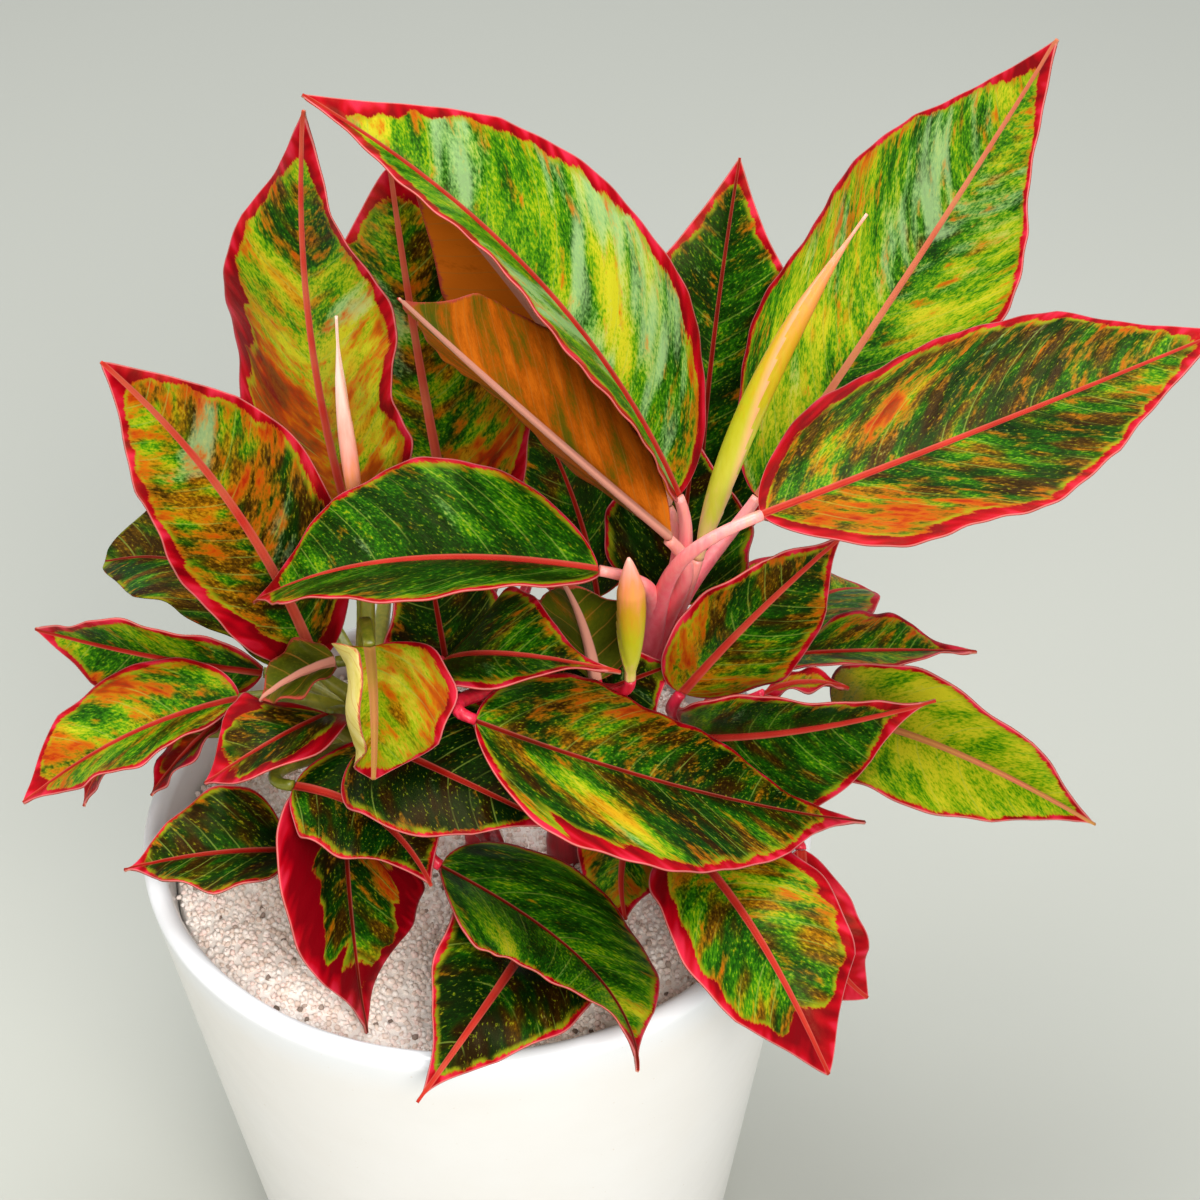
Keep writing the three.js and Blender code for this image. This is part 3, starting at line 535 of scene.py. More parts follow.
    leaf("leaf_front_3", "front", (-30, -38, 268), (31, -79, 266), start=0.9, wide=52, peak=0.35,
        arch=13, sway=3, roll=-26, left=4, lift=0.2, light=-0.47, red=-0.15, warm=0.6, edge=1,
        rib=0.25, marks=[mark(0.4, 0.6, 12, light=0.15), mark(0.95, 0, 10, edge=3)]),
    leaf("leaf_front_4", "front", (-9, -60, 233), (52, -142, 227), start=0.8, wide=74, peak=0.25,
        arch=-2, sway=-25, roll=31, right=1, left=8, light=0.08, red=-0.15, warm=0.2, edge=0.9,
        rib=0.1, marks=[mark(0.35, 0.85, 10, light=0.6), mark(0.15, 0.7, 10, light=0.2),
        mark(0.75, -0.8, 12, light=0.6), mark(0.5, -0.6, 12, light=0.2),
        mark(0.93, 0, 9, edge=2.5)]),
    leaf("leaf_front_5", "front", (17, -65, 200), (-16, -127, 197), start=0.4, wide=58, peak=0.31,
        arch=16, sway=1, roll=30, right=21, left=26, light=-0.33, red=-0.2, warm=0.6, edge=1.1,
        rib=0.5, marks=[mark(0.5, -0.5, 9, light=0.35), mark(0.4, 0.5, 8, light=0.25),
        mark(0.95, 0, 8, edge=2)]),
    leaf("leaf_front_6", "middle", (57, -24, 226), (50, -46, 192), start=0.4, wide=31, peak=0.42,
        arch=4, sway=3, roll=-4, light=0.2, red=0.2, edge=1.5),
    leaf("leaf_front_7", "middle", (42, -9, 266), (33, -6, 304), start=0.8, wide=34, peak=0.5,
        arch=3, roll=-85, light=0, red=0.1, edge=0.8),
    # A dark filler blade in the crown's depths: its low light and red shares are partly painted
    # shade.
    leaf("leaf_front_8", "front", (-8, 22, 238), (-14, 34, 292), start=0.7, wide=44, light=-0.2,
        red=-0.1, edge=1.5, rib=0.2),
    # A dark filler blade in the crown's depths: its low light and red shares are partly painted
    # shade.
    leaf("leaf_front_9", "middle", (26, 6, 240), (68, -2, 266), start=0.5, wide=40, roll=-75,
        light=-0.25, red=-0.2, warm=0.6, edge=1.2, rib=0.2),
    # right side, low
    leaf("leaf_side_1", "side", (75, -1, 233), (151, -26, 268), start=0.9, wide=62, peak=0.3,
        arch=7, sway=-1, roll=-86, right=17, left=33, light=-0.02, red=-0.1, edge=1.6, rib=0.48,
        marks=[mark(0.85, 0.6, 12, edge=2), mark(0.2, -0.7, 12, light=0.2)]),
    leaf("leaf_side_2", "side", (124, 18, 224), (205, -37, 222), start=0.8, wide=58, peak=0.39,
        arch=23, sway=-7, roll=-52, right=47, left=41, light=0.62, red=-0.4, warm=-0.5, edge=1,
        rib=0.8, marks=[mark(0.3, -0.6, 14, light=0.15)]),
    leaf("leaf_side_3", "side", (108, 37, 236), (172, 25, 246), start=0.8, wide=39, peak=0.36,
        arch=8, sway=10, roll=5, right=19, left=13, light=0.1, red=0.1, edge=1.6, rib=0.3,
        marks=[mark(0.9, 0, 10, edge=2.5), mark(0.4, -0.6, 10, red=0.2)]),
    leaf("leaf_side_4", "side", (98, 4, 247), (126, -1, 253), start=0.9, wide=12, peak=0.42,
        arch=4, light=0.2, red=0.5, edge=2),
    leaf("leaf_side_5", "middle", (70, -51, 230), (111, -124, 202), start=0.5, wide=57, peak=0.47,
        arch=19, sway=3, roll=-3, right=17, left=7, light=0.16, red=0, warm=0.62, edge=3,
        rib=0.42, marks=[mark(0.15, 0.4, 12, light=0.35, red=0.15),
        mark(0.3, 0.95, 16, edge=2.5), mark(0.85, 0.5, 14, edge=3.5),
        mark(0.5, -0.9, 16, light=0.25, red=0.35, edge=1), mark(0.9, -0.4, 12, edge=3)]),
    leaf("leaf_side_6", "middle", (108, -41, 218), (130, -64, 171), start=0.3, wide=29, peak=0.48,
        arch=7, sway=8, roll=-21, lift=0, ease=0.1, light=0.1, red=1.6, edge=6),
]

# Young leaves that are still rolled: base, middle and tip of the axis and the radius, and
# pale for how much further towards pink and cream their colour is.
SPEARS = [
    dict(name="spear_right", cane="right", base=(76, 14, 297), middle=(92, 18, 366),
        tip=(128, 34, 413), radius=4.6, peak=0.38, pale=0),
    dict(name="spear_left", cane="left", base=(-34, 28, 300), middle=(-38, 32, 340),
        tip=(-37, 40, 377), radius=2.8, peak=0.35, pale=0.6),
    dict(name="spear_middle", cane="middle", base=(53, -20, 275), middle=(54, -22, 303),
        tip=(53, -26, 329), radius=4.8, peak=0.6, pale=0.05),
]

UP = np.array([0.0, 0.0, 1.0])


def bezier(corners, t):
    """Points and unit tangents of a Bezier curve at each t.

    The corners are blended pair by pair until two are left: their blend is the point and
    their difference gives the tangent.
    """
    t = np.asarray(t, float)[:, None]
    row = [np.asarray(corner, float)[None] for corner in corners]
    while len(row) > 2:
        row = [(1 - t) * low + t * high for low, high in zip(row, row[1:])]
    return (1 - t) * row[0] + t * row[1], unit(row[1] - row[0])


def midrib(row):
    """The three corners of a midrib and the direction that its upper face looks in.

    The middle corner stands 2 * arch above the chord and 2 * sway to the right of it.
    """
    base, tip = np.array(row["base"], float), np.array(row["tip"], float)
    chord = unit(tip - base)
    level = unit(np.cross(chord, UP))
    lifted = np.cross(level, chord)
    turn = np.radians(row["roll"])
    right = level * np.cos(turn) + lifted * np.sin(turn)
    upper = lifted * np.cos(turn) - level * np.sin(turn)
    middle = (base + tip) / 2 + 2 * row["arch"] * upper + 2 * row["sway"] * right
    return [base, middle, tip], upper


# ---- canes and stalks -----------------------------------------------------------------
# Short fleshy canes stand in the soil, and from each one channelled stalks rise in sheaths
# and run on in line with the midribs. Stalks are pink on the right cane, olive on the left
# one and dark red, like all the canes, on the others. The left cane's olive is dark, partly
# as painted shade for the shade low in the plant.

SOIL_TOP = 181
CANE_FOOT = 150.5
CANE_RADIUS = 6.5
CROWN_RADIUS = 3.6
SCAR_SPACING = 9
STALK_RADIUS = 3.4
STALK_GROOVE = 0.22

# Where each cane stands, where its crown is, and the tints of its stalks, as places on the
# scale of stalk_flesh: the lowest one and how far they go on from there.
CANES = {
    "right": ((44, 24), (68, 18, 262), (0.45, 0.55)),
    "left": ((-26, 6), (-36, 8, 240), (1.6, 0.2)),
    "front": ((2, -14), (2, -18, 236), (-0.2, 0.3)),
    "side": ((72, 2), (72, 16, 228), (-0.1, 0.4)),
    "middle": ((30, -8), (38, -6, 256), (-0.2, 0.35)),
    "back": ((4, 44), (0, 52, 252), (-0.1, 0.3)),
}


def tube(centre, along, radius, places, groove=0.0):
    """Rings round a path: centre + r * (cos a * side + sin a * across).

    across lies level, so side looks up and inwards, and groove is the share of the radius
    that is hollowed out on that side as cos(a) to the sixth.
    """
    level = unit(np.cross(centre[-1] - centre[0], UP) + 1e-6)
    across = unit(level - (along @ level)[:, None] * along)
    side = np.cross(across, along)
    a = np.linspace(0, 2 * np.pi, places, endpoint=False)
    shape = 1 - groove * np.maximum(0, np.cos(a)) ** 6
    reach = np.asarray(radius)[:, None] * shape[None]
    ring = side[:, None] * np.cos(a)[None, :, None] + across[:, None] * np.sin(a)[None, :, None]
    return centre[:, None] + reach[:, :, None] * ring


def cane_corners(cane):
    """A point 10 mm over the soil, a corner straight above it, and the crown."""
    (x, y), crown, _ = CANES[cane]
    return [(x, y, SOIL_TOP + 10), (x, y, SOIL_TOP + 0.55 * (crown[2] - SOIL_TOP)), crown]


def cane_rings(cane):
    """An upright foot in the soil, then the leaning cane with a ring scar every 9 mm."""
    (x, y), _, _ = CANES[cane]
    t = np.linspace(0, 1, 40)
    centre, _ = bezier(cane_corners(cane), t)
    foot = [(x, y, z) for z in (CANE_FOOT, SOIL_TOP, SOIL_TOP + 9)]
    centre = np.concatenate([foot, centre])
    grown = np.concatenate([[0, 0, 0], t])
    scar = np.exp(-((centre[:, 2] % SCAR_SPACING - SCAR_SPACING / 2) ** 2) / 1.2)
    radius = CANE_RADIUS + (CROWN_RADIUS - CANE_RADIUS) * grown
    radius = np.where(centre[:, 2] > SOIL_TOP + 4, radius + 0.35 * scar, radius)
    x, y = circles(radius, 28)
    return centre[:, None] + np.stack([x, y, 0 * x], -1), 0.35 * grown - 0.1


def stalk_rings(row):
    """A channelled stalk on a cubic curve: out of the cane, then in line with the midrib.

    Its radius falls from 3.4 to 1.9 mm and swells by 0.8 mm into the sheath at its foot.
    """
    form = {**USUAL, **row}
    corners = [row["base"], row["middle"], row["tip"]] if "middle" in row else midrib(row)[0]
    heading = bezier(corners, [0.0])[1][0]
    root = bezier(cane_corners(row["cane"]), [max(0, form["start"] - 0.02)])[0][0]
    end = np.array(row["base"], float)
    reach = np.linalg.norm(end - root)
    outward = unit(unit(end - root) + UP * form["lift"])
    second = end - form["ease"] * reach * heading
    t = np.linspace(0, 1, 36)
    centre, along = bezier([root, root + 0.4 * reach * outward, second, end], t)
    radius = STALK_RADIUS - 1.5 * t + 0.8 * np.exp(-((t / 0.3) ** 2))
    return tube(centre, along, radius, 20, STALK_GROOVE), t


def stalk_flesh():
    """Satin skin of a fleshy stalk: dark red, pink, tan and then olive as its tint rises.

    Streaks are 2 mm wide and 14 mm high.
    """
    material, add, shader = start_material("fleshy_pink_stalk")
    grown = add("reading", attribute_name="grown").node.outputs["Fac"]
    streak = add("noise", add("fitted", in_mm(add), (1 / 2, 1 / 2, 1 / 14)), 1.0, 4.0)
    stops = [(0.0, "#6a1414"), (0.3, "#b81228"), (0.55, "#f22c50"), (0.85, "#ff5e74")]
    # The darkest olive, which the left cane's stalks reach, is partly painted shade.
    stops += [(1.2, "#ffa09c"), (1.5, "#e8a070"), (1.8, "#98922a"), (2.1, "#666e18")]
    fill(shader, {
        "Base Color": through(add, add("sum", streak, 0.5, grown), stops),
        "Roughness": 0.38,
        "Normal": add("bump", streak, 0.35, 0.0004),
        "Subsurface Weight": 0.15,
        "Subsurface Radius": (0.004, 0.002, 0.001),
        "Subsurface Scale": 1.0,
    })
    return material


flesh = stalk_flesh()
for cane, (_, _, (lowest, gain)) in CANES.items():
    shells = [cane_rings(cane)]
    for row in LEAVES + SPEARS:
        if row["cane"] == cane:
            rings, t = stalk_rings(row)
            shells.append((rings, lowest + gain * t))
    stem_points, stem_faces, stem_grown = np.zeros((0, 3)), [], np.zeros(0)
    for rings, grown in shells:
        points, faces = skin(rings)
        stem_faces += [[corner + len(stem_points) for corner in face] for face in faces]
        stem_points = np.concatenate([stem_points, points])
        on_rings = np.broadcast_to(grown[:, None], rings.shape[:2])
        stem_grown = np.concatenate([stem_grown, over_skin(on_rings)])
    make_piece(
        f"stem_{cane}_stalks", stem_points, stem_faces, flesh, f"stem_{cane}",
        {"grown": stem_grown},
    )


# ---- leaf blades ----------------------------------------------------------------------
# A blade is one thin sheet of leaf with a grooved midrib, side veins that curve to the
# tip and a wavy margin. The upper face is glossy and mottled, the underside is duller.

CELL = 1.15  # mm between points of the finest grid
VEIN_SPACING = 7.5
BLADE_THICKNESS = 0.5
RIB_THICKNESS = 2.2
DRAWN_OUT = 0.72  # where the tip starts to be drawn out
ARC_OVER_CHORD = 1.02  # of a usual midrib


def blade_share(t, peak):
    """Share of the full width at t: (t/peak)^0.62 * ((1-t)/(1-peak))^f, drawn out to a tip."""
    fall = 0.62 * (1 - peak) / peak
    tail = np.maximum(0, (t - DRAWN_OUT) / (1 - DRAWN_OUT))
    return (t / peak) ** 0.62 * ((1 - t) / (1 - peak)) ** fall * (1 - 0.55 * tail)


def vein_foot(a, x):
    """Where on the midrib the side vein starts that passes x from it: a - 0.6x - 0.012x^2."""
    return a - (0.6 * x + 0.012 * x * x)


def shares(row, s, signed, length):
    """The row's light, red, silver, edge and warm over a blade, with its marks added.

    A mark adds itself times exp(-d^2). d^2 is ((s - s0) / size)^2 + ((x - x0) / (1.5 size))^2,
    so it lies half as long again along the side veins as across them.
    """
    spread = {key: row[key] + 0 * s for key in ("light", "red", "silver", "edge", "warm")}
    for patch in row["marks"]:
        x = row["wide"] / 2 * blade_share(patch["t"], row["peak"]) * patch["v"]
        level = vein_foot(patch["t"] * length * ARC_OVER_CHORD, abs(x))
        away = ((s - level) / patch["size"]) ** 2 + ((signed - x) / (1.5 * patch["size"])) ** 2
        for key, value in patch["shares"].items():
            spread[key] = spread[key] + value * np.exp(-away)
    return spread


def blade(row, seed):
    """Rings and readings of one blade, which starts SEAT_GAP past the end of its stalk.

    A point at t along the midrib and v from -1 to 1 across it lies half * |v| from the rib,
    raised by the half's fold, a bulge 0.12 * half * (|v| - v^2), a margin wave that grows
    with v^2, a groove over the rib, and quilting between the side veins.
    """
    corners, upper = midrib(row)
    length = np.linalg.norm(corners[2] - corners[0])
    u = np.linspace(0, 1, max(36, int(length / CELL)))
    t = (0.5 * u + 0.5 * u * u * (3 - 2 * u))[:, None]
    centre, along = bezier(corners, t[:, 0])
    centre[0] += SEAT_GAP * along[0]
    normal = unit(upper - (along @ upper)[:, None] * along)
    across = np.cross(along, normal)
    columns = max(10, int(row["wide"] / 2 / CELL))
    w = np.linspace(-1, 1, 2 * columns + 1)[None]
    v = np.sign(w) * np.abs(w) ** 1.25
    side, m = np.sign(v), np.abs(v)
    ripple = 1 + 0.025 * np.sin(2 * np.pi * (3.3 * t + 0.37 * seed + 0.4 * side))
    half = row["wide"] / 2 * blade_share(t, row["peak"]) * ripple
    half = np.maximum(half, np.where(t < 0.5, 1.5, 0.5))
    x = half * m
    a = t * length * ARC_OVER_CHORD
    s = vein_foot(a, x)

    fold = np.radians(np.where(v > 0, row["right"], row["left"])) * np.ones_like(x)
    curl = np.radians(np.where(v > 0, row["curl"], 0)) * m
    curl = curl * np.clip(4 * np.minimum(t, 1 - t), 0, 1)
    lean = (fold + curl) * np.minimum(1, x / 2.5)
    chord = np.sinc(curl / (2 * np.pi))
    sweep = side * x * chord * np.cos(fold + curl / 2)
    climb = (np.sqrt(x * x + 1) - 1) * chord * np.sin(fold + curl / 2)
    flat = centre[:, None] + across[:, None] * sweep[..., None]
    flat = flat + normal[:, None] * climb[..., None]
    faces_up = normal[:, None] * np.cos(lean)[..., None]
    faces_up = faces_up - across[:, None] * (side * np.sin(lean))[..., None]

    calm = np.minimum(1, np.minimum(6 * t, 5 * (1 - t)))
    wave = row["wave"] * np.sin(2 * np.pi * (2.5 * t + 0.3 * side)) * m**2 * calm
    wave = wave + 0.3 * np.sin(2 * np.pi * (a / 13 + 0.61 * seed + 0.3 * side)) * m**4 * calm
    raised = 0.12 * half * (m - m * m) + wave
    quilt = -0.14 * np.cos(2 * np.pi * s / VEIN_SPACING) * 4 * m * (1 - m) * calm
    groove = -0.5 * np.exp(-((x / 1.2) ** 2)) * np.minimum(1, half / 6)
    rib = RIB_THICKNESS - 1.2 * t
    thick = BLADE_THICKNESS + (rib - BLADE_THICKNESS) * np.exp(-((x / 2.2) ** 2))
    over = flat + faces_up * (raised + quilt + groove)[..., None]
    under = flat + faces_up * (raised + 0.4 * quilt - thick)[..., None]

    def both(upwards, downwards=None):
        downwards = upwards if downwards is None else downwards
        return np.concatenate([(downwards + 0 * x)[:, ::-1], upwards + 0 * x], axis=1)

    margin = np.minimum(half * (1 - m), 0.45 * length * (1 - t))
    spread = shares(row, s, side * x, length)
    readings = {
        "blade": [both(spread["edge"]), both(margin), both(t)],
        "vein": [both(s), both(side * x), both(17.3 * seed)],
        "tone": [both(spread["light"]), both(spread["red"]), both(spread["silver"])],
        "face": [both(1, 0), both(row["brown"]), both(row["rib"])],
    }
    readings = {name: over_skin(np.stack(grids, -1)) for name, grids in readings.items()}
    readings["warm"] = over_skin(both(spread["warm"]))
    return np.concatenate([under[:, ::-1], over], axis=1), readings


FULL_LIGHT = 0.62  # the colours are those of a leaf in full light, so they are taken down


def leaf_skin(name, greens, unders):
    """Waxy leaf: mottling drawn out along the side veins, red margin and midrib.

    Across and along the side veins, speckles are 1 by 1.2 mm, streaks 2.6 by 7 mm, blots 5.5
    by 9 mm, patches 6.5 by 10 mm and clouds 14 by 24 mm. Their sum and the leaf's light share
    pick a colour from dark green over lime to yellow.
    """
    material, add, shader = start_material(name)

    blade_at, vein_at, tone_at, face_at = (
        add("reading", attribute_name=label).node.outputs["Vector"]
        for label in ("blade", "vein", "tone", "face")
    )
    warm = add("reading", attribute_name="warm").node.outputs["Fac"]
    edge, margin, grown = add("split", blade_at).node.outputs
    s, signed, _ = add("split", vein_at).node.outputs
    light, red, silver = add("split", tone_at).node.outputs
    upper_face, brown, rib_tint = add("split", face_at).node.outputs

    def pattern(across_vein, along_vein, shift, detail):
        sizes = (1 / across_vein, 1 / along_vein, 1)
        return add("noise", add("fitted", vein_at, sizes, (shift, shift, 0)), 1.0, detail, 0.6)

    speckle = pattern(1.0, 1.2, 0, 2.0)
    streak = pattern(2.6, 7, 5, 2.0)
    patch = pattern(6.5, 10, 23, 1.0)
    cloud = pattern(14, 24, 9, 1.0)
    blot = pattern(5.5, 9, 57, 2.0)

    # upper face: dark green or olive to lime and yellow, flecks, and a silvery bloom that is
    # partly silver-green variegation and partly a painted sheen of reflected light
    fine = add("sum", speckle, 1.3, add("sum", streak, 0.4, -0.85))
    broad = add("sum", cloud, 1.25, add("sum", light, 1.1, -1.15))
    broad = add("sum", patch, 0.8, broad)
    tone = add("math", broad, fine, operation="ADD")
    olives = [(-0.6, "#221402"), (-0.2, "#3a2503"), (0.05, "#5c4006"), (0.28, "#906008")]
    olives += [(0.48, "#c4880c"), (0.8, "#e8b01c")]
    olive_share = add("sum", pattern(8, 14, 77, 1.0), 2.4, add("sum", warm, 1.3, -1.85))
    sum_silver = add("sum", pattern(9, 24, 31, 1.0), 1.8, add("sum", silver, 0.93, -1.75))
    sum_silver = add("sum", speckle, 0.6, sum_silver)
    colour = through(add, tone, greens)
    colour = add("blend", add("step", olive_share, 0.0, 0.5), colour, through(add, tone, olives))
    colour = add("blend", add("step", speckle, 0.6, 0.72, 0.5), colour, "#a8b41c")
    # Painted sheen, in part: the pale mint stands for light reflected off the waxy face.
    colour = add("blend", add("step", sum_silver, -0.15, 0.35, 0.7), colour, "#b2da94")

    # orange and red blotches, more of them near the margin
    sum_red = add("sum", red, 0.95, add("step", margin, 10.0, 0.0, 0.3))
    for noise, weight in ((blot, 1.8), (streak, 0.6), (speckle, 0.6)):
        sum_red = add("sum", noise, weight, sum_red)
    stains = [(1.85, "#d08a10"), (2.05, "#dd6c0a"), (2.3, "#c42a0a"), (2.65, "#840412")]
    stained = add("step", sum_red, 1.65, 2.15, 0.88)
    colour = add("blend", stained, colour, through(add, sum_red, stains))

    # side veins: fine pale lines, wobbling a little and lost here and there
    wobble = add("sum", s, 1 / VEIN_SPACING, add("sum", streak, 0.12, -0.06))
    phase = add("math", wobble, 0.5, -0.5, operation="WRAP")
    on_vein = add("step", add("math", phase, operation="ABSOLUTE"), 0.055, 0.015, 0.4)
    shown = add("math", on_vein, add("step", cloud, 0.45, 0.6), operation="MULTIPLY")
    colour = add("blend", shown, colour, "#a9c44e")

    # margin: lime flecks, an orange fringe, the red band, brighter towards the edge and in
    # patches as partly painted highlight, and a pale rim that is a painted highlight of the edge
    has_band = add("step", edge, 0.2, 0.6)
    at_tip = add("math", add("step", grown, 0.88, 1.0, 2.2), has_band, operation="MULTIPLY")
    band = add("sum", edge, add("sum", pattern(11, 90, 41, 1.0), 2.4, -0.2), at_tip)
    inside_band = add("math", margin, band, operation="SUBTRACT")
    ragged = add("sum", blot, 2.4, add("sum", inside_band, 1.0, -2.4))
    ragged = add("sum", speckle, 2.4, ragged)
    fringe = add("step", patch, 0.38, 0.58, 0.75)
    limed = add("math", add("step", ragged, 2.8, 0.9), fringe, operation="MULTIPLY")
    # The red band is crimson, brighter pink-red towards the outer edge and in patches; that
    # brightening is painted highlight.
    band_highlight_level = add("sum", margin, -0.05, add("sum", patch, 1.0, 0.08))
    crimson_and_highlight = through(add, band_highlight_level, [(0.3, "#8c0010"), (0.5, "#c40319"), (0.7, "#f22c4a")])
    # Painted highlight: a thin pale pink line along the very edge, where it catches the light.
    painted_rim_highlight = add("math", add("step", margin, 0.5, 0.15, 0.65), has_band, operation="MULTIPLY")
    colour = add("blend", limed, colour, "#a8b018")
    colour = add("blend", add("step", ragged, 1.0, 0.2, 0.75), colour, "#c8500e")
    colour = add("blend", add("step", ragged, 0.5, 0.0), colour, crimson_and_highlight)
    colour = add("blend", painted_rim_highlight, colour, "#f59a94")

    # midrib: broad and pink on some blades, slender and dark on others
    slender = add("math", add("sum", rib_tint, 1.0, 0.45), 1.0, operation="MINIMUM")
    half_rib = add("math", add("sum", grown, -1.3, 2.05), slender, operation="MULTIPLY")
    off_rib = add("math", signed, operation="ABSOLUTE")
    off_rib = add("math", off_rib, half_rib, operation="DIVIDE")
    ribs = [(0.0, "#4f1408"), (0.25, "#a8180f"), (0.5, "#dc3c30"), (0.75, "#e68a62")]
    rib_sum = add("sum", cloud, 0.3, add("sum", rib_tint, 1.0, -0.15))
    rib_core = through(add, rib_sum, ribs + [(1.0, "#b9b22c")])
    rib_colour = add("blend", add("step", off_rib, 0.5, 1.0, 0.3), rib_core, "#f0907c")
    colour = add("blend", add("step", off_rib, 1.12, 0.95), colour, rib_colour)

    # underside: olive to bright ochre, pale midrib, thin pink rim
    lower = add("sum", speckle, 0.5, add("sum", broad, 1.0, -0.25))
    lower = add("blend", on_vein, through(add, lower, unders), "#c98a3a")
    lower = add("blend", add("step", ragged, 0.0, -1.2), lower, "#cf5240")
    lower = add("blend", add("step", off_rib, 1.5, 1.2), lower, "#f7ab94")
    upper = add("blend", brown, colour, lower)
    colour = add("blend", add("step", upper_face, 0.45, 0.55), lower, upper)
    relief = add("sum", speckle, 0.5, add("sum", streak, 0.5, 0.0))
    fill(shader, {
        "Base Color": add("scaled", colour, FULL_LIGHT),
        "Roughness": add("sum", streak, 0.25, add("sum", upper_face, -0.1, 0.36)),
        "Normal": add("bump", relief, 0.35, 0.0004),
        "IOR": 1.45,
        "Specular IOR Level": 0.11,
        "Specular Tint": "#ffe2a0",
    })
    return material


GREENS = [(-0.6, "#082204"), (-0.2, "#114006"), (0.05, "#226408"), (0.28, "#4e960c")]
GREENS += [(0.48, "#93b90f"), (0.8, "#dcd828")]
TENDER_GREENS = [(-0.6, "#4c6a0c"), (0.1, "#6f9a0c"), (0.4, "#a9bf14"), (0.8, "#ecdc3a")]
UNDERS = [(-0.6, "#3a4408"), (0.0, "#5c6610"), (0.25, "#86680e"), (0.5, "#cc660e")]
UNDERS += [(0.75, "#f27f18")]
TENDER_UNDERS = [(-0.6, "#b9a83c"), (0.1, "#d9c95a"), (0.4, "#f0e07c"), (0.9, "#fff0b8")]
mature = leaf_skin("waxy_mottled_leaf", GREENS, UNDERS)
tender = leaf_skin("tender_young_leaf", TENDER_GREENS, TENDER_UNDERS)
for number, row in enumerate(LEAVES):
    young = row["name"].startswith("young")
    rings, readings = blade(row, number)
    points, faces = skin(rings)
    make_piece(
        row["name"] + "_blade", points, faces, tender if young else mature, row["name"],
        readings,
    )


# ---- rolled young leaves --------------------------------------------------------------
# A new leaf stands as a spear: the whole blade rolled round itself, with one free edge
# that winds up the outside. It is yellow-green below and pink where it opens.

SPEAR_PLACES = 32


def spear_rings(row):
    """Rings of a rolled leaf, and how far they are grown and turned at each point.

    The tube's radius is r * blade_share(t) and grows by 16% round one turn, which leaves a
    step where the free edge lies. The step winds half round from base to tip.
    """
    t = np.linspace(0, 1, 70)
    centre, along = bezier([row["base"], row["middle"], row["tip"]], t)
    centre[0] += SEAT_GAP * along[0]
    swell = row["radius"] * blade_share(t, row["peak"])
    radius = np.maximum(swell, np.where(t < 0.5, 1.9, 0.5))
    turn = (np.arange(SPEAR_PLACES)[None] / SPEAR_PLACES + 0.55 + 0.5 * t[:, None]) % 1
    rings = tube(centre, along, radius, SPEAR_PLACES)
    rolled = centre[:, None] + (rings - centre[:, None]) * (0.9 + 0.16 * turn)[..., None]
    return rolled, np.broadcast_to(t[:, None] + row["pale"], turn.shape), turn


def rolled_leaf():
    """Satin rolled leaf: yellow-green, amber, then pink upwards, and pink at the free edge."""
    material, add, shader = start_material("rolled_young_leaf")
    grown = add("reading", attribute_name="grown").node.outputs["Fac"]
    turn = add("reading", attribute_name="turn").node.outputs["Fac"]
    streak = add("noise", add("fitted", in_mm(add), (1 / 1.5, 1 / 1.5, 1 / 12)), 1.0, 4.0)
    reached = add("sum", streak, 0.22, add("sum", grown, 0.7, 0.0))
    stops = [(0.1, "#eab890"), (0.24, "#c8c83c"), (0.4, "#bdb91c"), (0.56, "#cf9c22")]
    stops += [(0.7, "#ea8e56"), (0.8, "#f5a08c"), (1.0, "#fbd6c6")]
    free_edge = add("range", turn, 0.88, 0.96, 0.0, 0.6)
    fill(shader, {
        "Base Color": add("blend", free_edge, through(add, reached, stops), "#f3a68c"),
        "Roughness": 0.36,
        "Normal": add("bump", streak, 0.3, 0.0004),
    })
    return material


rolled = rolled_leaf()
for row in SPEARS:
    rings, grown, turn = spear_rings(row)
    points, faces = skin(rings)
    readings = {"grown": over_skin(grown), "turn": over_skin(turn)}
    make_piece(row["name"] + "_roll", points, faces, rolled, row["name"], readings)


# ---- floor, light and camera ----------------------------------------------------------
# A plain pale floor, large soft lights overhead and in front, a weak warm one from the
# left, and the camera where the plant was seen from: well above it, looking down.

FLOOR_HALF = 4.0  # m
PLANT_MIDDLE = np.array([0.03, 0.0, 0.28])
SENSOR_WIDTH = 36  # mm
CAMERA_LENS = 80.04  # mm
CAMERA_TARGET = np.array([0.0439, 0.0, 0.292])
CAMERA_DISTANCE = 0.862
CAMERA_ELEVATION = 38.7
CAMERA_ROLL = -1.33

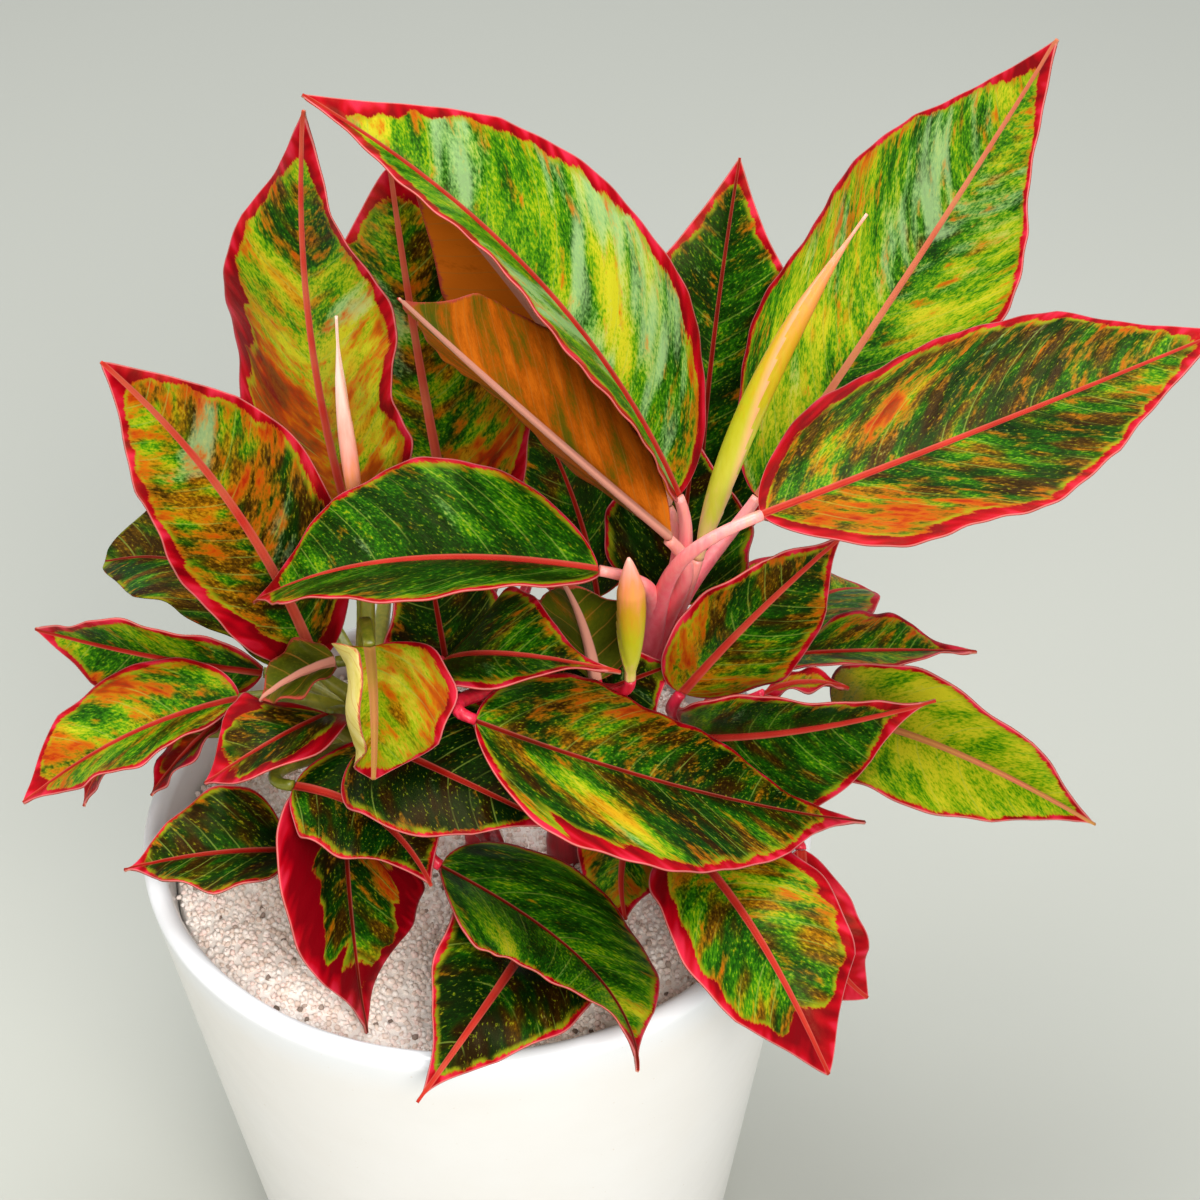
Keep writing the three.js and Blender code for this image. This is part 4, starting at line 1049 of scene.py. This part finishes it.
floor_mesh = bpy.data.meshes.new("pale_floor")
floor_corners = [(-FLOOR_HALF, -FLOOR_HALF, 0), (FLOOR_HALF, -FLOOR_HALF, 0)]
floor_corners += [(FLOOR_HALF, FLOOR_HALF, 0), (-FLOOR_HALF, FLOOR_HALF, 0)]
floor_mesh.from_pydata(floor_corners, [], [(0, 1, 2, 3)])
floor = bpy.data.objects.new("pale_floor", floor_mesh)
bpy.context.scene.collection.objects.link(floor)
paper, _, shader = start_material("matt_pale_paper")
fill(shader, {"Base Color": "#a9aca5", "Roughness": 0.9})
floor_mesh.materials.append(paper)


def looking(place, target, roll=0.0):
    """A matrix at place whose -Z looks at target, turned by roll degrees about that line."""
    forward = unit(target - place)
    right = unit(np.cross(forward, UP + 1e-6))
    over = np.cross(right, forward)
    turn = np.radians(roll)
    matrix = np.eye(4)
    matrix[:3, 0] = right * np.cos(turn) + over * np.sin(turn)
    matrix[:3, 1] = over * np.cos(turn) - right * np.sin(turn)
    matrix[:3, 2] = -forward
    matrix[:3, 3] = place
    return Matrix(matrix.tolist())


def soft_light(name, place, size, power, colour):
    """A square area light that faces the middle of the plant."""
    data = bpy.data.lights.new(name, "AREA")
    data.size, data.energy, data.color = size, power, linear(colour)[:3]
    lamp = bpy.data.objects.new(name, data)
    bpy.context.scene.collection.objects.link(lamp)
    lamp.matrix_world = looking(np.array(place), PLANT_MIDDLE)


soft_light("overhead", (-0.1, 0.35, 1.9), 1.1, 28, "#ffffff")
soft_light("front_right", (0.5, -1.5, 1.4), 0.9, 38, "#fff8f2")
soft_light("left", (-1.5, -0.3, 1.1), 1.0, 8, "#ffeedd")

world = bpy.data.worlds.new("pale_room")
bpy.context.scene.world = world
world.use_nodes = True
fill(world.node_tree.nodes["Background"], {"Color": "#eef1f4", "Strength": 0.62})
bpy.context.scene.view_settings.view_transform = "Standard"

elevation = np.radians(CAMERA_ELEVATION)
away = CAMERA_DISTANCE * np.array([0, -np.cos(elevation), np.sin(elevation)])
camera_data = bpy.data.cameras.new("camera")
camera_data.lens, camera_data.sensor_width = CAMERA_LENS, SENSOR_WIDTH
camera = bpy.data.objects.new("camera", camera_data)
bpy.context.scene.collection.objects.link(camera)
camera.matrix_world = looking(CAMERA_TARGET + away, CAMERA_TARGET, CAMERA_ROLL)
bpy.context.scene.camera = camera
